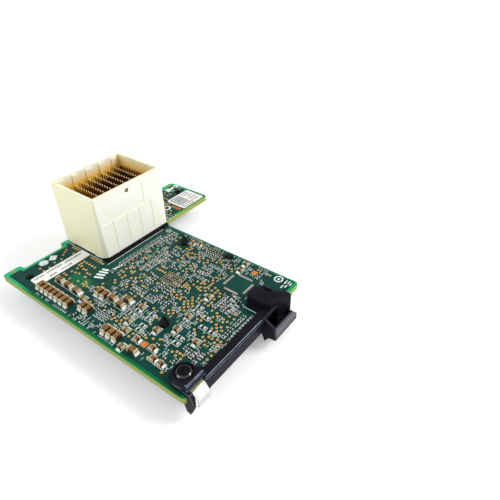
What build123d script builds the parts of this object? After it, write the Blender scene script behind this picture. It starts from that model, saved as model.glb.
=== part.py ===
from build123d import *
import os

# Mezzanine host bus adapter, in millimetres.
# X runs along the front edge, Y from there to the back edge, and Z up from the component side.
# At the end every piece is moved so that the origin lies under the middle of the whole.

# Card
card_width = 82.0
card_length = 84.0
card_thickness = 2.0
body_width = 55.5
ear_length = 21.3
card_corner = 1.2
inner_corner = 1.0
ear_chamfer = 1.6
notch_start = 6.6
notch_end = 22.5
notch_depth = 2.5
notch_corner = 0.8
guide_hole_diameter = 2.8
guide_hole_side = 5.0
guide_hole_back = 8.6

# Connector housing
shroud_overhang = 0.2
shroud_back_inset = 0.5
shroud_width = 29.9
shroud_depth = 22.5
shroud_top = 24.7
shroud_wall = 0.9
shroud_lift = 0.4
shroud_foot_width = 0.8
shroud_foot_length = 2.0
shroud_foot_inset = 4.0
rib_width = 2.5
rib_pitch = 5.85
rib_relief = 0.35
rib_bottom = 6.0
rib_drop = 0.8
panel_top = 13.8
panel_bottom = 1.6
groove_width = 0.3
groove_depth = 0.25
window_side = 2.0
window_right = 9.0
window_top = 22.6
window_depth = 0.15
peg_hole_diameter = 1.1
peg_hole_side = 14.1
peg_hole_height = 22.3
corner_cut_top = 0.4
corner_cut_bottom = 1.4
shroud_left = body_width + shroud_overhang - shroud_width
shroud_front = card_length - shroud_back_inset - shroud_depth

# Contact wafers and their contacts
row_count = 10
row_pitch = 3.0
wafer_thickness = 1.0
wafer_top = 17.0
wafer_clearance = 0.1
toe_width = 2.7
toe_reach = 1.3
toe_height = 0.8
toe_root = 1.0
toe_clearance = 0.1
contact_count = 15
contact_end_margin = 0.35
contact_width = 0.5
contact_thickness = 0.3
contact_length = 3.8
contact_tip_width = 0.36

# Latch bracket
bracket_left = 0.9
bracket_right = 46.0
bar_lip = 2.0
bar_front = 1.1
bar_top = 1.5
bar_bottom = 1.5
bar_bevel = 0.45
plinth_half_width = 4.2
plinth_shoulder = 1.2
boss_diameter = 6.9
boss_round_centre = 4.4
boss_top = 3.1
boss_inset = 0.3
boss_recess_diameter = 5.4
boss_recess_depth = 1.0
boss_edge = 0.35
boss_middle = bracket_left + plinth_half_width
hood_corner = 1.2
cheek_thickness = 0.9
cheek_reach = 1.9
cheek_back = 1.2
cheek_tip_half = 0.7
cheek_tip_near = 6.8
cheek_tip_far = 6.3
clip_clearance = 0.1
far_boss_top = 4.0
far_boss_front = 0.2
far_boss_left = 37.3
far_boss_back = 8.5
far_boss_width = 6.9
far_flange = 1.0
far_flange_top = 1.3
guard_drop = 4.0
guard_flare = 2.9
guard_return = 1.6
slot_width = 0.6
slot_length = 3.2
slot_depth = 0.8
pull_left = 34.0
pull_reach = 5.3
pull_wall = 1.0
pull_bottom = 5.7
pull_leg = 8.2
pull_lip_top = 1.4
pull_lip_bottom = 5.5
pull_shoulder_width = 2.0
pull_shoulder_drop = 3.2
scoop_radius = 6.2

# Screws of the bracket
screw_diameter = 2.2
screw_hole_clearance = 0.1
screw_head_diameter = 4.2
screw_head_height = 0.9
dome_diameter = 5.0
dome_height = 1.3
screw_grip = 1.4
nut_width = 4.0
nut_height = 1.2

# Spring clip
clip_middle = 4.6
clip_width = 4.6
clip_thickness = 0.3
clip_tab = 2.2
clip_knee = 0.75
clip_bulge = 2.6
clip_bulge_drop = 1.0
clip_lean = 2.8
clip_drop = 3.0
clip_curl = 0.6
clip_bend = 0.4

# Controller, pad and heat sink
chip_inset = 7.5
chip_height = 1.1
chip_margin = 2.5
lid_height = 1.3
lid_edge = 0.5
lid_margin = 1.0
pad_thickness = 0.25
sink_width = 42.0
sink_depth = 33.0
sink_base = 1.5
sink_height = 4.6
fin_count = 13
fin_thickness = 1.0
pin_clearing = 7.4
sink_corner = 1.0
chip_width = sink_width - 2 * chip_inset
lid_width = chip_width - 2 * chip_margin
pad_width = lid_width - 2 * lid_margin

# Push pins and their springs
pin_inset_x = 3.95
pin_inset_y = 4.7
pin_diameter = 2.4
pin_hole_clearance = 0.2
pin_head_diameter = 4.6
pin_head_height = 0.7
pin_tip_height = 2.9
pin_tip_diameter = 1.3
pin_barb_diameter = 3.3
pin_barb_height = 1.9
pin_slit = 0.45
spring_diameter = 3.9
spring_wire = 0.4
spring_gap = 0.05
spring_turns = 1.5

# Chips of the component side
power_length = 3.2
power_width = 1.7
power_height = 1.6
power_end = 0.5
power_gap = 0.75
label_gap = 0.25
bulk_length = 2.0
bulk_width = 1.3
bulk_height = 1.1
bulk_end = 0.4
small_length = 0.98
small_width = 0.5
small_height = 0.45
small_end = 0.24
small_pitch_x = 1.95
small_pitch_y = 0.97
resistor_length = 1.6
resistor_width = 0.85
resistor_height = 0.5
resistor_end = 0.35
driver_width = 1.9
driver_length = 2.2
driver_height = 1.1
pin_neighbour_step = 3.25
far_pin_steps = [(1.35, 2.65), (2.45, 5.15)]
edge_row_step = (2.85, 6.5)
driver_step = (2.85, 18.95)

# Pads, labels and other flat pieces
foil = 0.06
test_pad_width = 2.0
fiducial_diameter = 1.2
fiducial_sides = 8
land_length = 5.6
land_width = 0.8
land_span = 8.1
ear_contact_width = 0.7
ear_contact_length = 1.6
ear_contact_pitch = 1.3
ear_contact_count = 4
label_thickness = 0.12
label_corner = 0.8
address_label_width = 21.0
address_label_depth = 4.9
address_label_left = 4.0
address_label_back = 10.1
part_label_share = 0.468
part_label_width = part_label_share * (card_width - body_width)
part_label_depth = 10.0
part_label_side = 1.3
part_label_front = 0.7
ear_contact_gap = 0.7
ear_contact_front = 1.3

# Packages of the hidden side
flash_length = 5.0
flash_width = 4.0
flash_height = 1.6
flash_lead_reach = 1.0
flash_lead_width = 0.4
flash_lead_thickness = 0.2
flash_lead_pitch = 1.27
flash_lead_count = 4
clock_length = 5.0
clock_width = 3.2
clock_height = 1.2
clock_lid_edge = 0.3
clock_lid_height = 0.15
coil_width = 6.6
coil_height = 3.0
coil_corner = 1.0
coil_end_width = 2.4
coil_end_thickness = 0.2
coil_side = 11.9
coil_back = 12.6

# Places on the card, as shares of its body's width and of its length, and quarter turns
power_row_left = 3.0
power_row_count = 7
power_pair_gap = 4.8
power_pair_shift = 1.8
power_shares = [
    (0.177, 0.772, 1), (0.176, 0.721, 1), (0.174, 0.668, 1),
    (0.247, 0.590, 0), (0.247, 0.560, 0), (0.256, 0.521, 1), (0.244, 0.469, 1), (0.297, 0.467, 1),
    (0.074, 0.413, 0), (0.074, 0.384, 0), (0.074, 0.355, 0), (0.059, 0.266, 1),
]
bulk_shares = [
    (0.083, 0.187, 0), (0.081, 0.153, 0), (0.155, 0.613, 1), (0.124, 0.294, 0),
    (0.306, 0.396, 1), (0.192, 0.383, 1), (0.133, 0.356, 1), (0.129, 0.221, 0), (0.044, 0.311, 1),
    (0.402, 0.224, 1), (0.295, 0.215, 1), (0.287, 0.119, 1), (0.585, 0.232, 1), (0.884, 0.231, 1),
    (0.953, 0.237, 1),
]
resistor_shares = [
    (0.239, 0.400, 1), (0.276, 0.396, 1), (0.262, 0.333, 1), (0.297, 0.337, 1), (0.211, 0.326, 1),
    (0.177, 0.322, 1), (0.264, 0.180, 1), (0.226, 0.175, 1), (0.458, 0.221, 1), (0.496, 0.224, 1),
    (0.454, 0.169, 1), (0.389, 0.148, 1), (0.387, 0.105, 1), (0.659, 0.152, 0), (0.625, 0.138, 0),
    (0.609, 0.117, 0),
]
array_share = (0.544, 0.376)
array_columns = 3
array_rows = 8
front_row_left = 27.9
front_row_gap = 5.5
front_row_count = 9
front_row_pitch = 1.9
edge_row_count = 8
edge_row_pitch = 1.3
test_pad_shares = [(0.126, 0.259), (0.920, 0.176)]
fiducial_side = 3.3
fiducial_back = 1.4
lands_share = (0.779, 0.188)
flash_share = (0.163, 0.750)
clock_share = (0.103, 0.600)
controller_share = (0.595, 0.410)

# Shapes of the bracket, as shares of the sizes that they follow
far_corner_share = 0.12
far_shoulder_share = 0.35
cheek_hip_share = 0.45

# Working values
overrun = 1.0
snap = 0.01
below_card = -card_thickness
ear_front = card_length - ear_length
chip_middle_x = controller_share[0] * body_width
chip_middle_y = controller_share[1] * card_length


def block(low, high):
    """A block between two opposite corners."""
    spans = [b - a for a, b in zip(low, high)]
    middle = [(a + b) / 2 for a, b in zip(low, high)]
    return Pos(*middle) * Box(*spans)


def upright(points, bottom, top):
    """A prism that stands on an outline drawn in plan."""
    face = make_face(Polyline(*points, close=True))
    return Pos(0, 0, bottom) * extrude(face, top - bottom, dir=(0, 0, 1))


def crosswise(points, left, right):
    """A prism along X over an outline drawn in Y and Z."""
    face = make_face(Polyline(*[(0, y, z) for y, z in points], close=True))
    return Pos(left, 0, 0) * extrude(face, right - left, dir=(1, 0, 0))


def post(x, y, bottom, top, diameter):
    """A round post or the tool for a round hole."""
    return Pos(x, y, (bottom + top) / 2) * Cylinder(diameter / 2, top - bottom)


def upright_edges(solid, places):
    """The upright edges that stand at the given places in plan."""
    def stands_there(edge):
        middle = edge.center()
        return any(abs(middle.X - x) < snap and abs(middle.Y - y) < snap for x, y in places)
    return solid.edges().filter_by(Axis.Z).filter_by(stands_there)


def on_card(share):
    """The place on the card at a share of its body's width and of its length."""
    return share[0] * body_width, share[1] * card_length


def guide_hole_places():
    """The middles of the two alignment holes."""
    row = card_length - guide_hole_back
    return [(guide_hole_side, row), (card_width - guide_hole_side, row)]


def push_pin_places():
    """The middles of the two push pins, on a diagonal across the controller."""
    step_x = sink_width / 2 - pin_inset_x
    step_y = sink_depth / 2 - pin_inset_y
    near = (chip_middle_x - step_x, chip_middle_y - step_y)
    far = (chip_middle_x + step_x, chip_middle_y + step_y)
    return [near, far]


def screw_places():
    """The middles of the two bracket screws, one in each boss."""
    return [(boss_middle, boss_round_centre), (far_boss_left + far_boss_width / 2, boss_round_centre)]


def circuit_board():
    """The laminate: an L with a notched back edge and the holes that its pieces pass through."""
    notch_floor = card_length - notch_depth
    points = [
        (0, 0), (body_width, 0), (body_width, ear_front), (card_width, ear_front),
        (card_width, card_length), (notch_end, card_length), (notch_end, notch_floor),
        (notch_start, notch_floor), (notch_start, card_length), (0, card_length),
    ]
    board = upright(points, below_card, 0)
    outer = [points[0], points[1], points[3], points[5], points[8], points[9]]
    board = fillet(upright_edges(board, outer), card_corner)
    board = fillet(upright_edges(board, [points[2]]), inner_corner)
    board = fillet(upright_edges(board, [points[6], points[7]]), notch_corner)
    board = chamfer(upright_edges(board, [points[4]]), ear_chamfer)
    low = below_card - overrun
    for x, y in guide_hole_places():
        board -= post(x, y, low, overrun, guide_hole_diameter)
    for x, y in push_pin_places():
        board -= post(x, y, low, overrun, pin_diameter + 2 * pin_hole_clearance)
    for x, y in screw_places():
        board -= post(x, y, low, overrun, screw_diameter + 2 * screw_hole_clearance)
    return board


def row_places():
    """The X of each wafer's middle."""
    middle = shroud_left + shroud_width / 2
    return [middle + (i - (row_count - 1) / 2) * row_pitch for i in range(row_count)]


def housing_ribs():
    """The ribs inside the front and back walls that guide the mating half."""
    front = shroud_front + shroud_wall
    back = shroud_front + shroud_depth - shroud_wall
    middle = shroud_left + shroud_width / 2
    ribs = []
    rib_top = shroud_top - rib_drop
    for i in range(-2, 3):
        left = middle + i * rib_pitch - rib_width / 2
        right = left + rib_width
        ribs.append(block((left, front - snap, rib_bottom), (right, front + rib_relief, rib_top)))
        ribs.append(block((left, back - rib_relief, rib_bottom), (right, back + snap, rib_top)))
    return ribs


def corner_cut():
    """The cut along the front left corner, which widens towards the card."""
    x = shroud_left
    y = shroud_front
    faces = []
    for height, leg in [(shroud_lift, corner_cut_bottom), (shroud_top, corner_cut_top)]:
        reach = leg + overrun
        corner = [(x - overrun, y - overrun), (x + reach, y - overrun), (x - overrun, y + reach)]
        faces.append(Pos(0, 0, height) * make_face(Polyline(*corner, close=True)))
    return loft(faces)


def connector_housing():
    """The moulded shroud: four thin walls, open at the top and towards the card."""
    left = shroud_left
    right = shroud_left + shroud_width
    front = shroud_front
    back = shroud_front + shroud_depth
    shell = block((left, front, shroud_lift), (right, back, shroud_top))
    shell -= block(
        (left + shroud_wall, front + shroud_wall, shroud_lift - overrun),
        (right - shroud_wall, back - shroud_wall, shroud_top + overrun),
    )
    for rib in housing_ribs():
        shell += rib
    shell -= corner_cut()
    shell -= block(
        (left + window_side, front - overrun, panel_top),
        (right - window_right, front + window_depth, window_top),
    )
    for i in range(-2, 2):
        middle = (left + right) / 2 + (i + 1 / 2) * rib_pitch
        shell -= block(
            (middle - groove_width / 2, front - overrun, panel_bottom),
            (middle + groove_width / 2, front + groove_depth, panel_top),
        )
    peg_hole = Pos(left + peg_hole_side, front, peg_hole_height) * Rot(90, 0, 0)
    shell -= peg_hole * Cylinder(peg_hole_diameter / 2, 2 * (shroud_wall + overrun))
    opening = toe_width / 2 + toe_clearance
    for x in row_places():
        shell -= block(
            (x - opening, front - overrun, shroud_lift - overrun),
            (x + opening, front + shroud_wall + toe_root + toe_clearance, toe_height + toe_clearance),
        )
    for y in (front + shroud_foot_inset, back - shroud_foot_inset):
        for x in (left, right - shroud_foot_width):
            shell += block((x, y, 0), (x + shroud_foot_width, y + shroud_foot_length, shroud_lift))
    return shell


def wafer_span():
    """The front and the back of a wafer, between the ribs of the two walls."""
    inset = shroud_wall + rib_relief + wafer_clearance
    return shroud_front + inset, shroud_front + shroud_depth - inset


def connector_wafers():
    """Thin moulded slabs, each with a toe that runs out under the front wall."""
    front, back = wafer_span()
    wafers = []
    for x in row_places():
        slab = block((x - wafer_thickness / 2, front, 0), (x + wafer_thickness / 2, back, wafer_top))
        toe = block(
            (x - toe_width / 2, shroud_front - toe_reach, 0),
            (x + toe_width / 2, shroud_front + shroud_wall + toe_root, toe_height),
        )
        nose = toe.edges().filter_by(Axis.X).sort_by(Axis.Y)[:2].sort_by(Axis.Z)[-1]
        wafers.append(slab + chamfer(nose, toe_height / 2))
    return Compound(wafers)


def signal_contacts():
    """The tapered contact tips that stand on each wafer."""
    front, back = wafer_span()
    pitch = (back - front - 2 * contact_end_margin - contact_width) / (contact_count - 1)
    half = contact_width / 2
    tip_half = contact_tip_width / 2
    outline = [(-half, 0), (half, 0), (tip_half, contact_length), (-tip_half, contact_length)]
    tip = crosswise(outline, -contact_thickness / 2, contact_thickness / 2)
    first = front + contact_end_margin + half
    tips = []
    for x in row_places():
        for i in range(contact_count):
            tips.append(Pos(x, first + i * pitch, wafer_top) * tip)
    return Compound(tips)


def bracket_bar():
    """The channel that wraps the card's front edge, with a bevelled upper corner."""
    bottom = below_card - bar_bottom
    outline = [
        (-bar_front, bottom), (bar_lip, bottom), (bar_lip, below_card), (0, below_card),
        (0, 0), (bar_lip, 0), (bar_lip, bar_top), (bar_bevel - bar_front, bar_top),
        (-bar_front, bar_top - bar_bevel),
    ]
    return crosswise(outline, bracket_left, bracket_right)


def bevelled_top(solid, top):
    """The solid with a small bevel round its top."""
    rim = solid.edges().filter_by(lambda edge: edge.center().Z > top - snap)
    return chamfer(rim, boss_edge)


def near_boss():
    """The low plinth at the near end, and the round boss on it that is sunk for its screw."""
    right = bracket_left + 2 * plinth_half_width
    outline = [
        (bracket_left, 0), (right, 0), (right + plinth_shoulder, bar_lip), (right, boss_round_centre),
        (bracket_left, boss_round_centre),
    ]
    plinth = upright(outline, 0, bar_top)
    plinth += post(boss_middle, boss_round_centre, 0, bar_top, 2 * plinth_half_width)
    radius = boss_diameter / 2
    boss = block(
        (boss_middle - radius, boss_inset, snap), (boss_middle + radius, boss_round_centre, boss_top)
    )
    boss += post(boss_middle, boss_round_centre, snap, boss_top, boss_diameter)
    whole_boss = bevelled_top(plinth, bar_top) + bevelled_top(boss, boss_top)
    floor = boss_top - boss_recess_depth
    return whole_boss - post(
        boss_middle, boss_round_centre, floor, boss_top + overrun, boss_recess_diameter
    )


def clip_line():
    """The middle line of the spring clip in Y and Z, from its tab to its curl."""
    tab_height = bar_top - clip_thickness
    return [
        (clip_tab, tab_height), (-clip_knee, tab_height), (-clip_bulge, -clip_bulge_drop),
        (-clip_lean, -clip_drop), (clip_curl - clip_lean, -clip_drop - clip_curl),
    ]


def clip_pocket():
    """The room in the bar and the boss for the spring clip."""
    left = clip_middle - clip_width / 2 - clip_clearance
    right = clip_middle + clip_width / 2 + clip_clearance
    tab_height = bar_top - clip_thickness
    half = clip_thickness / 2 + clip_clearance
    low = below_card - bar_bottom - overrun
    front = block((left, -bar_front - overrun, low), (right, 0, boss_top + overrun))
    tab_back = clip_tab + clip_clearance
    tab = block((left, -overrun, tab_height - half), (right, tab_back, tab_height + half))
    return front + tab


def near_cheeks():
    """The two cheeks that flank the spring clip and hook down in front of the card."""
    hip = pull_leg * cheek_hip_share
    inner = clip_width / 2 + clip_clearance
    cheeks = []
    for left, right, tip in [
        (bracket_left, clip_middle - inner, cheek_tip_near),
        (clip_middle + inner, clip_middle + inner + cheek_thickness, cheek_tip_far),
    ]:
        outline = [
            (0, bar_top), (-bar_front, bar_top), (-cheek_reach, below_card / 4), (-cheek_reach, -hip),
            (-cheek_tip_half, -tip), (cheek_tip_half, cheek_tip_half - tip), (cheek_back, -hip),
            (cheek_back, below_card), (0, below_card),
        ]
        cheeks.append(crosswise(outline, left, right))
    return cheeks[0] + cheeks[1]


def far_hood():
    """The boss at the far end, with the flared guard in front of it and a thin slot in its top."""
    left = far_boss_left
    right = left + far_boss_width
    corner = far_boss_width * far_corner_share
    shoulder = far_boss_width * far_shoulder_share
    front = [
        (left + hood_corner, -far_boss_front), (right - shoulder, -bar_front),
        (bracket_right, -guard_flare),
    ]
    back = [
        (bracket_right, bar_top - guard_return), (right, bar_top),
        (right, far_boss_back - shoulder),
        (right - shoulder, far_boss_back), (left + corner, far_boss_back),
        (left, far_boss_back - corner), (left, hood_corner - far_boss_front),
    ]
    face = front_curve(front, back)
    hood = extrude(face, far_boss_top, dir=(0, 0, 1))
    skirt = extrude(face, guard_drop, dir=(0, 0, -1))
    behind = (bracket_right + overrun, far_boss_back + overrun, overrun)
    skirt -= block((left - overrun, 0, -guard_drop - overrun), behind)
    scoop = Pos(left, -guard_flare - overrun, -guard_drop) * Rot(90, 0, 0)
    skirt -= scoop * Cylinder(scoop_radius - bar_top, 2 * (guard_flare + overrun - bar_front))
    hood += skirt
    hood = bevelled_top(hood, far_boss_top)
    slot_place = Pos(right - 2 * slot_width, far_boss_back / 2, far_boss_top)
    return hood - slot_place * Box(slot_width, slot_length, 2 * slot_depth)


def front_curve(front, back):
    """A plan outline whose front is one smooth curve and whose other sides are straight."""
    curve = Spline(*front)
    rest = Polyline(front[-1], *back, front[0])
    return make_face([curve, rest])


def far_flange_plate():
    """The low step beside the far boss."""
    return block(
        (far_boss_left - far_flange, 0, 0),
        (far_boss_left + far_flange, far_boss_back - far_flange, far_flange_top),
    )


def finger_pull():
    """The trough that a finger hooks: sloped ends, a lip with a cut shoulder and an arched foot."""
    arch = (pull_leg + pull_bottom) / 2 - pull_wall
    outer = [
        (0, bar_top), (0, below_card), (bar_lip / 3, below_card), (-pull_wall / 5, -pull_bottom),
        (-bar_front, -pull_leg), (-pull_reach / 2, -arch), (pull_wall / 2 - pull_reach, -pull_bottom),
        (-pull_reach, -pull_lip_bottom), (-pull_reach, -pull_lip_top), (-bar_front, bar_top - bar_bevel),
    ]
    inner = [
        (pull_wall - pull_reach, overrun), (pull_wall - pull_reach, pull_wall - pull_bottom),
        (-pull_reach / 2, pull_wall / 2 - pull_bottom), (-bar_front, below_card - bar_bottom),
        (-bar_front, overrun),
    ]
    pull = crosswise(outer, pull_left, bracket_right)
    pull -= crosswise(inner, pull_left + pull_wall, bracket_right - pull_wall)
    shoulder = [
        (bracket_right - pull_shoulder_width, -pull_lip_top), (bracket_right, -pull_shoulder_drop),
        (bracket_right + overrun, -pull_shoulder_drop), (bracket_right + overrun, overrun),
        (bracket_right - pull_shoulder_width, overrun),
    ]
    slope_face = make_face(Polyline(*[(x, -bar_front, z) for x, z in shoulder], close=True))
    return pull - extrude(slope_face, pull_reach + overrun, dir=(0, -1, 0))


def latch_bracket():
    """The one moulding along the front edge."""
    bracket = bracket_bar() + near_boss() + far_hood() + far_flange_plate() + finger_pull()
    bracket -= clip_pocket()
    bracket += near_cheeks()
    near, far = screw_places()
    hole = screw_diameter + 2 * screw_hole_clearance
    bracket -= post(*near, below_card - bar_bottom - overrun, boss_top, hole)
    bracket -= post(*far, -overrun, screw_grip + snap, hole)
    return bracket


def bracket_screws():
    """The domed screw in the near boss and the one that enters the far boss from below."""
    near, far = screw_places()
    seat = boss_top - boss_recess_depth
    dome = post(*near, seat, seat + dome_height, dome_diameter)
    dome = chamfer(dome.edges().group_by(Axis.Z)[-1], dome_height / 2)
    near_screw = dome + post(*near, below_card - nut_height, seat, screw_diameter)
    head = post(*far, below_card - screw_head_height, below_card, screw_head_diameter)
    far_screw = head + post(*far, below_card, screw_grip, screw_diameter)
    return Compound([near_screw, far_screw])


def bracket_nut():
    """The hexagon nut of the near screw, under the card."""
    near = screw_places()[0]
    hexagon = Pos(*near, below_card - nut_height) * RegularPolygon(nut_width / 2, 6, major_radius=False)
    nut = extrude(hexagon, nut_height, dir=(0, 0, 1))
    return nut - post(*near, below_card - nut_height - overrun, below_card + overrun, screw_diameter)


def spring_clip():
    """The bent steel strip between the cheeks."""
    points = [(clip_middle, y, z) for y, z in clip_line()]
    path = FilletPolyline(*points, radius=clip_bend)
    start = Plane(origin=path @ 0, x_dir=(1, 0, 0), z_dir=path % 0)
    return sweep(start * Rectangle(clip_width, clip_thickness), path)


def controller_chip():
    """The controller's substrate on the hidden side."""
    half = chip_width / 2
    return block(
        (chip_middle_x - half, chip_middle_y - half, below_card - chip_height),
        (chip_middle_x + half, chip_middle_y + half, below_card),
    )


def controller_lid():
    """The metal lid on the substrate, with a broken edge."""
    half = lid_width / 2
    top = below_card - chip_height
    lid = block(
        (chip_middle_x - half, chip_middle_y - half, top - lid_height),
        (chip_middle_x + half, chip_middle_y + half, top),
    )
    lower = lid.edges().group_by(Axis.Z)[0]
    return chamfer(lower, lid_edge)


def lid_face():
    """The height of the lid's free face."""
    return below_card - chip_height - lid_height


def thermal_pad():
    """The soft sheet between the lid and the heat sink."""
    half = pad_width / 2
    return block(
        (chip_middle_x - half, chip_middle_y - half, lid_face() - pad_thickness),
        (chip_middle_x + half, chip_middle_y + half, lid_face()),
    )


def heat_sink():
    """The extruded heat sink: a plate with fins, cut clear round the two push pins."""
    top = lid_face() - pad_thickness
    left = chip_middle_x - sink_width / 2
    front = chip_middle_y - sink_depth / 2
    right = left + sink_width
    back = front + sink_depth
    sink = block((left, front, top - sink_base), (right, back, top))
    pitch = (sink_width - fin_thickness) / (fin_count - 1)
    for i in range(fin_count):
        x = left + i * pitch
        sink += block((x, front, top - sink_height), (x + fin_thickness, back, top - sink_base))
    for x, y in push_pin_places():
        half = pin_clearing / 2
        low = top - sink_height - overrun
        sink -= block((x - half, y - half, low), (x + half, y + half, top - sink_base))
        sink -= post(x, y, top - sink_height, top + overrun, pin_diameter + 2 * pin_hole_clearance)
    corners = [(left, front), (left, back), (right, front), (right, back)]
    return fillet(upright_edges(sink, corners), min(sink_corner, fin_thickness - snap))


def pin_head_top():
    """The height at which a push pin's head begins, above the feet of the fins."""
    return lid_face() - pad_thickness - sink_height + pin_head_height + spring_gap


def push_pin(x, y):
    """A moulded pin: a round head, a shank and a slit barbed tip above the card."""
    head_top = pin_head_top()
    pin = post(x, y, head_top - pin_head_height, head_top, pin_head_diameter)
    pin += post(x, y, head_top, pin_tip_height - pin_barb_height, pin_diameter)
    barb = Pos(x, y, pin_tip_height - pin_barb_height / 2) * Cone(
        pin_barb_diameter / 2, pin_tip_diameter / 2, pin_barb_height
    )
    pin += barb
    slit = block(
        (x - pin_slit / 2, y - pin_barb_diameter, spring_gap),
        (x + pin_slit / 2, y + pin_barb_diameter, pin_tip_height + overrun),
    )
    return pin - slit


def push_pins():
    """The two pins that hold the heat sink to the card."""
    return Compound([push_pin(x, y) for x, y in push_pin_places()])


def push_pin_springs():
    """The coil springs between the heads of the pins and the plate."""
    top = lid_face() - pad_thickness - sink_base - spring_gap - spring_wire / 2
    bottom = pin_head_top() + spring_gap + spring_wire / 2
    height = top - bottom
    coil = Helix(height / spring_turns, height, (spring_diameter - spring_wire) / 2)
    start = Plane(origin=coil @ 0, x_dir=(0, 0, 1), z_dir=coil % 0)
    spring = sweep(start * Rectangle(spring_wire, spring_wire), coil, is_frenet=True)
    return Compound([Pos(x, y, bottom) * spring for x, y in push_pin_places()])


def chip_body(place, turns, size, end):
    """A chip's ceramic body, which lies on the card."""
    length, width, height = size
    return Pos(*place, height / 2) * Rot(0, 0, 90 * turns) * Box(length - 2 * end, width, height)


def chip_ends(place, turns, size, end):
    """The two tinned ends of a chip."""
    length, width, height = size
    shift = (length - end) / 2
    pieces = []
    for side in (-1, 1):
        turn = Pos(*place, height / 2) * Rot(0, 0, 90 * turns)
        pieces.append(turn * Pos(side * shift, 0, 0) * Box(end, width, height))
    return pieces


def chips(places, size, end):
    """The bodies and the ends of like chips, as two groups."""
    bodies = [chip_body((x, y), turns, size, end) for x, y, turns in places]
    ends = [piece for x, y, turns in places for piece in chip_ends((x, y), turns, size, end)]
    return Compound(bodies), Compound(ends)


def spread(shares):
    """The places of a table of shares, each with its quarter turns."""
    return [(*on_card((a, b)), turns) for a, b, turns in shares]


def power_places():
    """The row of large capacitors by the left edge, and the others of their size."""
    x = power_row_left + power_length / 2
    y = address_label_place()[1] - (address_label_depth + power_width) / 2 - label_gap
    pitch = power_width + power_gap
    row = [(x, y - i * pitch, 0) for i in range(power_row_count)]
    last = row[-1][1] - power_pair_gap
    pair = [(x + power_pair_shift, last - i * pitch, 0) for i in range(2)]
    return row + pair + spread(power_shares)


def bulk_places():
    """The smaller brown capacitors, three of them beside the push pins."""
    near, far = push_pin_places()
    places = [(near[0] - pin_neighbour_step, near[1], 1)]
    places += [(far[0] + across, far[1] - down, 0) for across, down in far_pin_steps]
    return places + spread(bulk_shares)


def small_places():
    """The array under the controller, the row before the connector and the row by the right edge."""
    x, y = on_card(array_share)
    places = []
    for i in range(array_columns):
        places += [(x + i * small_pitch_x, y + j * small_pitch_y, 0) for j in range(array_rows)]
    y = shroud_front - toe_reach - front_row_gap
    places += [(front_row_left + i * front_row_pitch, y, 1) for i in range(front_row_count)]
    x, y = push_pin_places()[1]
    row = range(edge_row_count)
    return places + [(x + edge_row_step[0], y - edge_row_step[1] - i * edge_row_pitch, 0) for i in row]


def driver_chip():
    """The small black package by the right edge."""
    pin = push_pin_places()[1]
    x = pin[0] + driver_step[0]
    y = pin[1] - driver_step[1]
    return block(
        (x - driver_width / 2, y - driver_length / 2, 0),
        (x + driver_width / 2, y + driver_length / 2, driver_height),
    )


def test_pads():
    """The square gold pads."""
    places = [on_card(share) for share in test_pad_shares]
    pad = Box(test_pad_width, test_pad_width, foil)
    return Compound([Pos(x, y, foil / 2) * pad for x, y in places])


def fiducials():
    """The round gold marks in the back corners."""
    y = card_length - fiducial_back
    marks = []
    for x in (fiducial_side, card_width - fiducial_side):
        mark = Pos(x, y) * RegularPolygon(fiducial_diameter / 2, fiducial_sides)
        marks.append(extrude(mark, foil, dir=(0, 0, 1)))
    return Compound(marks)


def footprint_lands():
    """The tinned lands round the place of a package that isn't fitted."""
    x, y = on_card(lands_share)
    lands = []
    for quarter in range(4):
        turn = Pos(x, y, foil / 2) * Rot(0, 0, 90 * quarter)
        lands.append(turn * Pos(land_span / 2, 0, 0) * Box(land_width, land_length, foil))
    return Compound(lands)


def ear_contacts():
    """The short column of gold lands on the ear."""
    x = part_label_place()[0] - (part_label_width + ear_contact_length) / 2 - ear_contact_gap
    y = ear_front + part_label_front + ear_contact_front
    lands = []
    land = Box(ear_contact_length, ear_contact_width, foil)
    for i in range(ear_contact_count):
        lands.append(Pos(x, y + i * ear_contact_pitch, foil / 2) * land)
    return Compound(lands)


def address_label_place():
    """The middle of the long label by the back edge."""
    y = card_length - address_label_back - address_label_depth / 2
    return address_label_left + address_label_width / 2, y


def part_label_place():
    """The middle of the label on the ear."""
    x = card_width - part_label_side - part_label_width / 2
    return x, ear_front + part_label_front + part_label_depth / 2


def label(place, width, depth):
    """A thin label with rounded corners, left bare."""
    face = RectangleRounded(width, depth, label_corner)
    return Pos(*place, 0) * extrude(face, label_thickness, dir=(0, 0, 1))


def flash_memory():
    """The moulded body of the flash memory on the hidden side."""
    x, y = on_card(flash_share)
    middle_z = below_card - flash_height / 2 - flash_lead_thickness
    body = Pos(x, y, middle_z) * Box(flash_width, flash_length, flash_height)
    return chamfer(body.edges().group_by(Axis.Z)[0], flash_lead_thickness)


def flash_leads():
    """The flat leads on both sides of the flash memory."""
    x, y = on_card(flash_share)
    leads = []
    for side in (-1, 1):
        for i in range(flash_lead_count):
            along = (i - (flash_lead_count - 1) / 2) * flash_lead_pitch
            reach = (flash_width / 2 + flash_lead_reach / 2) * side
            leads.append(
                Pos(x + reach, y + along, below_card - flash_lead_thickness / 2)
                * Box(flash_lead_reach, flash_lead_width, flash_lead_thickness)
            )
    return Compound(leads)


def clock_oscillator():
    """The ceramic body of the oscillator on the hidden side."""
    x, y = on_card(clock_share)
    return Pos(x, y, below_card - clock_height / 2) * Box(clock_width, clock_length, clock_height)


def clock_lid():
    """The metal lid of the oscillator."""
    x, y = on_card(clock_share)
    inset = 2 * clock_lid_edge
    return Pos(x, y, below_card - clock_height - clock_lid_height / 2) * Box(
        clock_width - inset, clock_length - inset, clock_lid_height
    )


def coil_place():
    """The middle of the inductor, under the ear."""
    return card_width - coil_side, card_length - coil_back


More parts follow.
